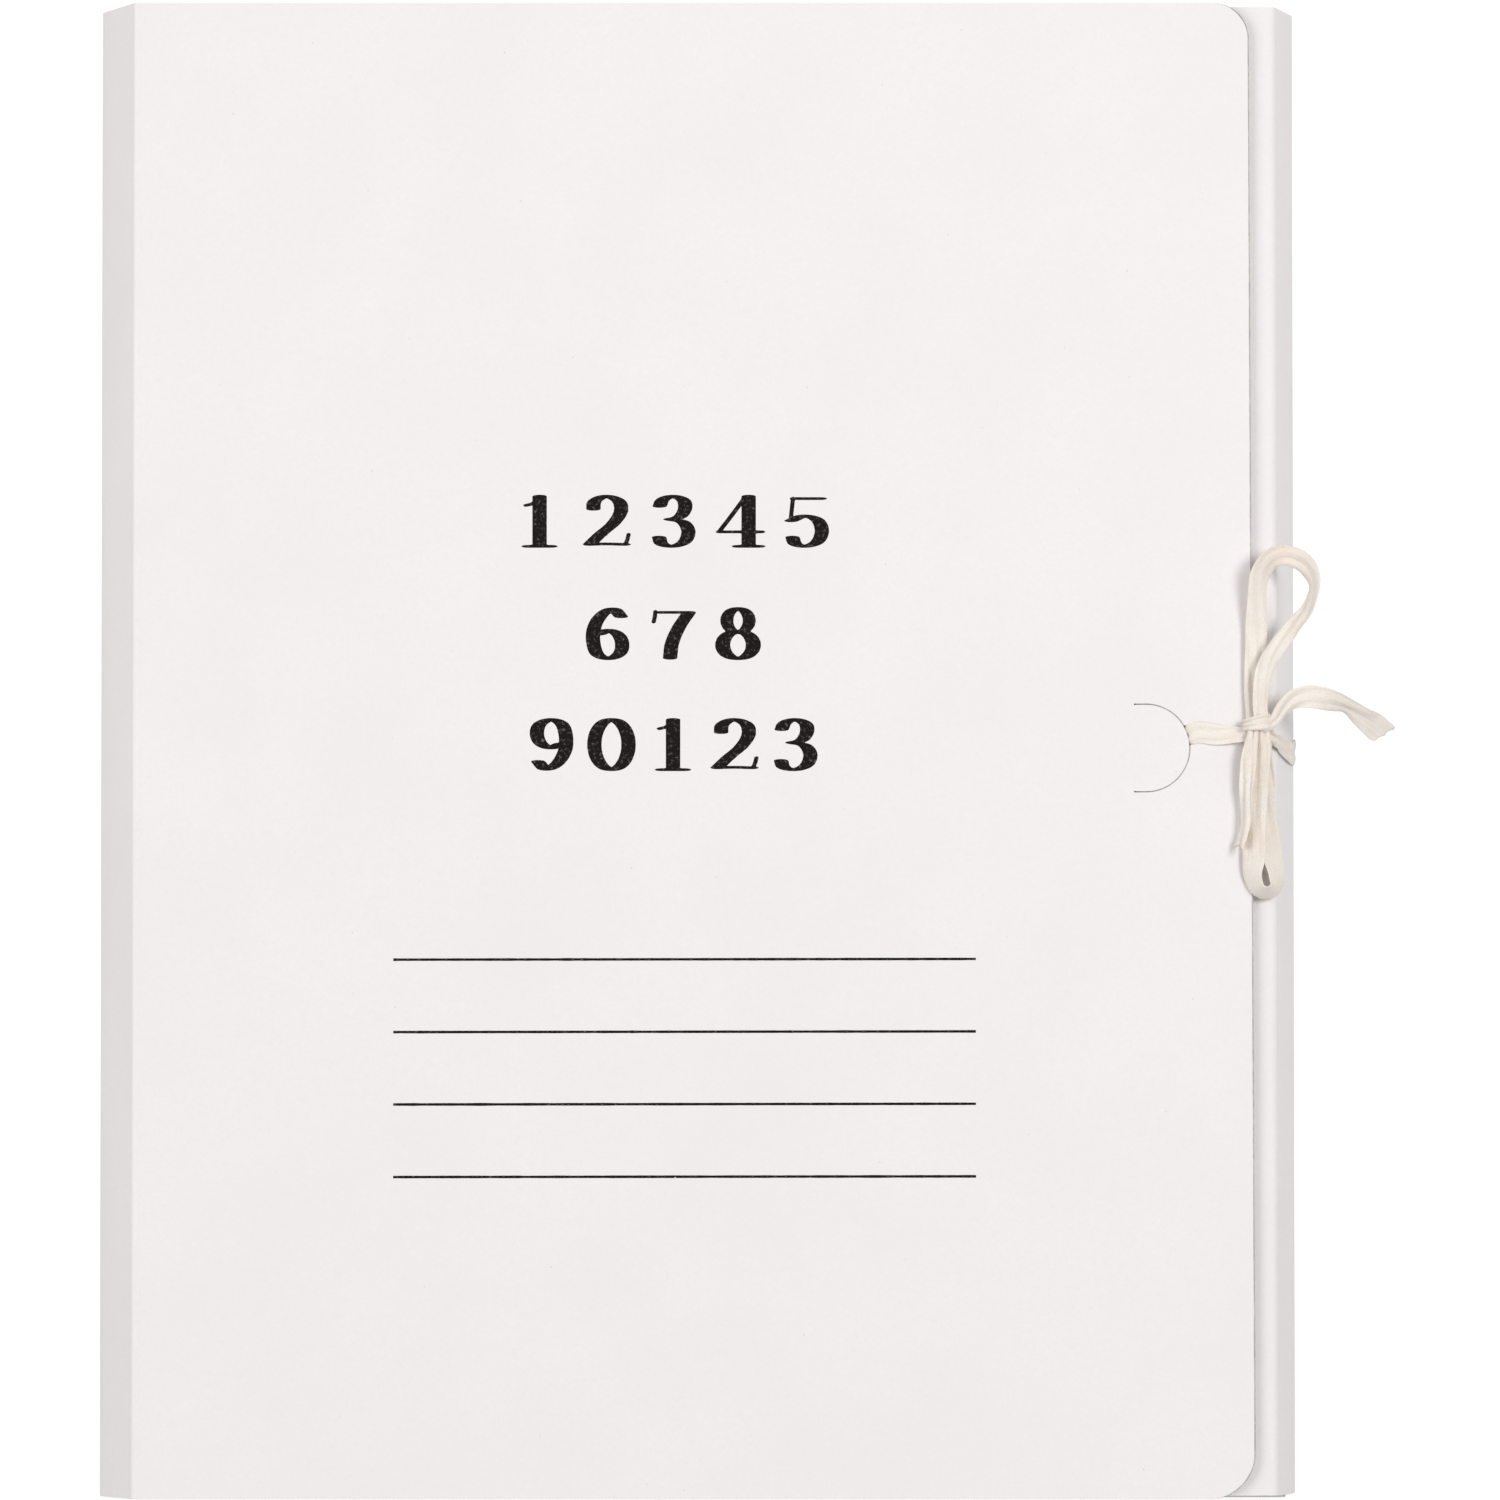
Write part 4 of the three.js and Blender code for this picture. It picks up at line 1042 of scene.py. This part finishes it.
# Strokes in millimetres in the field: the points that the pen goes through, or an oval's centre,
# half width and half height, and the stroke's share of the nib's width
digits = {
    "0": [([("oval", 4.2, 5.5, 2.9, 5.2)], 1.0)],
    "1": [([(4.3, 10.7), (4.3, 5.5), (4.3, 0.3)], 1.0), ([(4.3, 10.3), (3.2, 9.2), (2.0, 8.8)], 0.4),
          ([(2.4, 0.3), (4.3, 0.3), (6.2, 0.3)], 1.0)],
    "2": [([(2.1, 8.0), (2.3, 9.6), (4.2, 10.7), (6.4, 9.7), (6.8, 7.7), (5.6, 5.2), (3.4, 2.9),
            (1.5, 0.7)], 1.0),
          ([(1.5, 0.7), (4.2, 0.8), (7.3, 0.7)], 1.0), ([(7.6, 0.9), (7.9, 1.8), (8.1, 2.8)], 0.3)],
    "3": [([(2.0, 8.6), (2.6, 10.0), (4.3, 10.7), (6.1, 9.8), (6.3, 8.0), (5.4, 6.4), (3.8, 5.9)], 1.0),
          ([(3.8, 5.9), (6.0, 5.3), (6.9, 3.4), (6.2, 1.2), (4.2, 0.3), (2.4, 0.8), (1.9, 2.2)], 1.0)],
    "4": [([(5.8, 10.7), (5.8, 5.5), (5.8, 0.3)], 1.0), ([(5.2, 10.5), (3.1, 7.0), (0.9, 3.5)], 0.35),
          ([(0.9, 3.3), (4.2, 3.3), (7.9, 3.3)], 0.6), ([(4.1, 0.3), (5.8, 0.3), (7.5, 0.3)], 1.0)],
    "5": [([(2.6, 10.2), (4.6, 10.2), (6.6, 10.2)], 1.0), ([(2.0, 10.3), (1.8, 8.0), (1.6, 5.7)], 0.3),
          ([(1.7, 5.6), (3.8, 6.6), (6.1, 5.8), (6.9, 3.5), (6.1, 1.2), (4.1, 0.3), (2.4, 0.8),
            (1.9, 2.2)], 1.0)],
    "6": [([(6.5, 9.0), (5.2, 10.6), (3.5, 9.7), (2.0, 7.0), (1.8, 3.6), (2.6, 1.1), (4.4, 0.3),
            (6.2, 1.3), (6.7, 3.3), (6.0, 5.3), (4.4, 6.2), (2.8, 5.4)], 1.0)],
    "7": [([(2.4, 9.9), (4.8, 9.9), (7.0, 9.9)], 1.0), ([(1.3, 10.1), (1.2, 9.0), (1.0, 7.9)], 0.3),
          ([(7.0, 9.9), (5.2, 6.6), (4.1, 3.4), (3.8, 0.4)], 1.0)],
    "8": [([("oval", 4.3, 8.2, 1.9, 2.5)], 0.9), ([("oval", 4.3, 3.15, 2.6, 2.85)], 1.05)],
}


def penLine(points):
    if points[0][0] == "oval":
        _, x, y, halfWide, halfHigh = points[0]
        angle = np.linspace(0, 2 * math.pi, 300)
        return np.stack([x + halfWide * np.cos(angle), y + halfHigh * np.sin(angle)], 1)
    return smoothLine([[x, y, 0] for x, y in points], 0.08)[1][:, :2]


def inkShape(lines, low, high):
    # All that an oval nib covers as it follows the lines. On a fine grid, each point's distance
    # from the nearest place of the nib is measured in nib sizes; the grid's triangles are kept where
    # it is under one, and cut along the line where it is one. The shape is closed as a thin slab.
    pen = np.concatenate([np.column_stack([line, np.full(len(line), share)]) for line, share in lines])
    reach = np.array(numerals["nib"]) + 0.5
    axes = [np.arange(pen[:, k].min() - reach[k], pen[:, k].max() + reach[k], numerals["grid"])
            for k in (0, 1)]
    grid = np.stack(np.meshgrid(*axes, indexing="ij"), -1)
    rows, columns = grid.shape[:2]
    grid = grid.reshape(-1, 2)
    far = np.hypot((grid[:, :1] - pen[:, 0]) / (numerals["nib"][0] * pen[:, 2]),
                   (grid[:, 1:] - pen[:, 1]) / numerals["nib"][1]).min(1) - 1
    far = np.where(np.abs(far) < 0.03, np.copysign(0.03, far), far)  # no cut right at a grid point
    corner = (np.arange(rows - 1)[:, None] * columns + np.arange(columns - 1)[None, :]).reshape(-1, 1)
    triangles = np.concatenate([corner + [0, columns, columns + 1], corner + [0, columns + 1, 1]])
    inside = far[triangles] < 0
    points, faces, walls = [grid], triangles[inside.sum(1) == 3].tolist(), []
    for number in (1, 2):
        some = inside.sum(1) == number
        lone = np.argmax(inside[some] == (number == 1), axis=1)
        turned = np.take_along_axis(triangles[some], (lone[:, None] + np.arange(3)) % 3, 1)
        value, place = far[turned], grid[turned]
        cuts = []
        for k in (1, 2):
            share = (value[:, 0] / (value[:, 0] - value[:, k]))[:, None]
            cuts.append(sum(map(len, points)) + np.arange(len(turned)))
            points.append(place[:, 0] * (1 - share) + place[:, k] * share)
        first, second = cuts
        if number == 1:
            faces += np.stack([turned[:, 0], first, second], 1).tolist()
            walls.append(np.stack([second, first], 1))
        else:
            faces += np.stack([first, turned[:, 1], turned[:, 2], second], 1).tolist()
            walls.append(np.stack([first, second], 1))
    points = np.concatenate(points)
    merged, index = np.unique(points.round(4), axis=0, return_inverse=True)
    index = index.ravel()
    walls = index[np.concatenate(walls)]
    faces = [index[face].tolist() for face in faces]  # a triangle or a quad each
    count = len(merged)
    faces += [[i + count for i in face[::-1]] for face in faces]
    faces += np.column_stack([walls, walls[:, ::-1] + count]).tolist()
    used = np.unique(np.concatenate([np.array(face) for face in faces]))
    slab = np.concatenate([np.column_stack([merged, np.full(count, z)]) for z in (high, low)])
    fresh = np.zeros(2 * count, int)
    fresh[used] = np.arange(len(used))
    return slab[used], [fresh[face].tolist() for face in faces]


def makeNumerals():
    # A 9 is a 6 turned by half a turn about the middle of the field
    wide, high = numerals["field"]
    for number, (middle, width, text) in enumerate(numerals["rows"]):
        points, faces, count = [], [], 0
        pitch = (width - wide * numerals["stretch"]) / (len(text) - 1)
        for place, digit in enumerate(text):
            lines = []
            for line, share in digits["6" if digit == "9" else digit]:
                path = penLine(line)
                if digit == "9":
                    path = np.array([wide, high]) - path
                path = path * [numerals["stretch"], 1]
                path = path + [numerals["centre"] - width / 2 + pitch * place, middle - high / 2]
                lines.append((path, share))
            shape, slabs = inkShape(lines, inkLow, inkHigh)
            faces += [[i + count for i in face] for face in slabs]
            count += len(shape)
            points.append(shape)
        piece = meshPiece(f"printed_number_{number + 1}", np.concatenate(points), faces, inkMaterial,
                          smooth=False)
        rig.slot(piece, "white_board")
        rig.ride(piece, "cover")


makeNumerals()
print("numbers made")

light = {
    "sky": 0.421,
    "key": (20, 58, 0.5, 8.24),  # turn from +X, height, diameter in metres, watts: fore-edge side
    "fill": (172, 45, 1.1, 7.2),  # the same: spine side
    "lampDistance": 1.4,
    "glow": 0.64,  # what the camera gets from the floor besides the light on it
    "floor": "#DEDEDE",  # what it throws back on the folder; to the camera it is white
    "floorHalf": 6.0,
    "floorDepth": 0.2 * mm,  # below the table's level
}


def makeStage():
    # Matt white paper, which glows only to the camera, seen straight, mirrored or through glass
    material, tree, shader = newMaterial("white studio paper", roughness=0.9, specular=0.1)
    shader.inputs["Base Color"].default_value = linear(light["floor"])
    ray = addNode(tree, "ShaderNodeLightPath").outputs
    direct = addNode(tree, "ShaderNodeMath", {0: ray["Is Camera Ray"], 1: ray["Is Glossy Ray"]},
                     operation="MAXIMUM")
    seen = addNode(tree, "ShaderNodeMath", {0: direct.outputs[0], 1: ray["Is Transmission Ray"]},
                   operation="MAXIMUM")
    strength = addNode(tree, "ShaderNodeMath", {0: seen.outputs[0], 1: light["glow"]},
                       operation="MULTIPLY")
    glow = addNode(tree, "ShaderNodeEmission", {"Strength": strength.outputs[0]})
    total = addNode(tree, "ShaderNodeAddShader", {0: shader.outputs[0], 1: glow.outputs[0]})
    tree.links.new(total.outputs[0], tree.nodes["Material Output"].inputs["Surface"])
    corners = np.array([(-1, -1, 0), (1, -1, 0), (1, 1, 0), (-1, 1, 0)]) * light["floorHalf"]
    mesh = bpy.data.meshes.new("floor")
    mesh.from_pydata(corners.tolist(), [], [(0, 1, 2, 3)])
    mesh.transform(Matrix.Translation((0, 0, -light["floorDepth"])))
    mesh.materials.append(material)
    floor = bpy.data.objects.new("floor", mesh)
    bpy.context.collection.objects.link(floor)
    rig.stage(floor)

    world = bpy.data.worlds.new("studio")
    world.use_nodes = True
    bpy.context.scene.world = world
    tree = world.node_tree
    sky = tree.nodes["Background"]
    sky.inputs["Color"].default_value = (1, 1, 1, 1)
    # its strength is 1 to the camera and that of the sky to everything else
    ray = addNode(tree, "ShaderNodeLightPath").outputs
    white = addNode(tree, "ShaderNodeMath", {0: ray["Is Camera Ray"], 1: 1 - light["sky"],
                                             2: light["sky"]}, operation="MULTIPLY_ADD")
    tree.links.new(white.outputs[0], sky.inputs["Strength"])

    for name in ("key", "fill"):
        turn, height, size, watts = light[name]
        turn, height = math.radians(turn), math.radians(height)
        lamp = bpy.data.lights.new(name, "AREA")
        lamp.shape = "DISK"
        lamp.size = size
        lamp.energy = watts
        holder = bpy.data.objects.new(name, lamp)
        away = Vector((math.cos(turn) * math.cos(height), math.sin(turn) * math.cos(height),
                       math.sin(height)))
        holder.location = away * light["lampDistance"]
        holder.rotation_euler = (-away).to_track_quat("-Z", "Y").to_euler()
        bpy.context.collection.objects.link(holder)


makeStage()
bpy.context.scene.view_settings.view_transform = "Standard"
print("stage and light made")

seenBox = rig.bounds()
with open("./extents.json", "w") as out:
    json.dump({"cad": [list(corner) for corner in cadBox], "seen": [list(corner) for corner in seenBox]}, out)
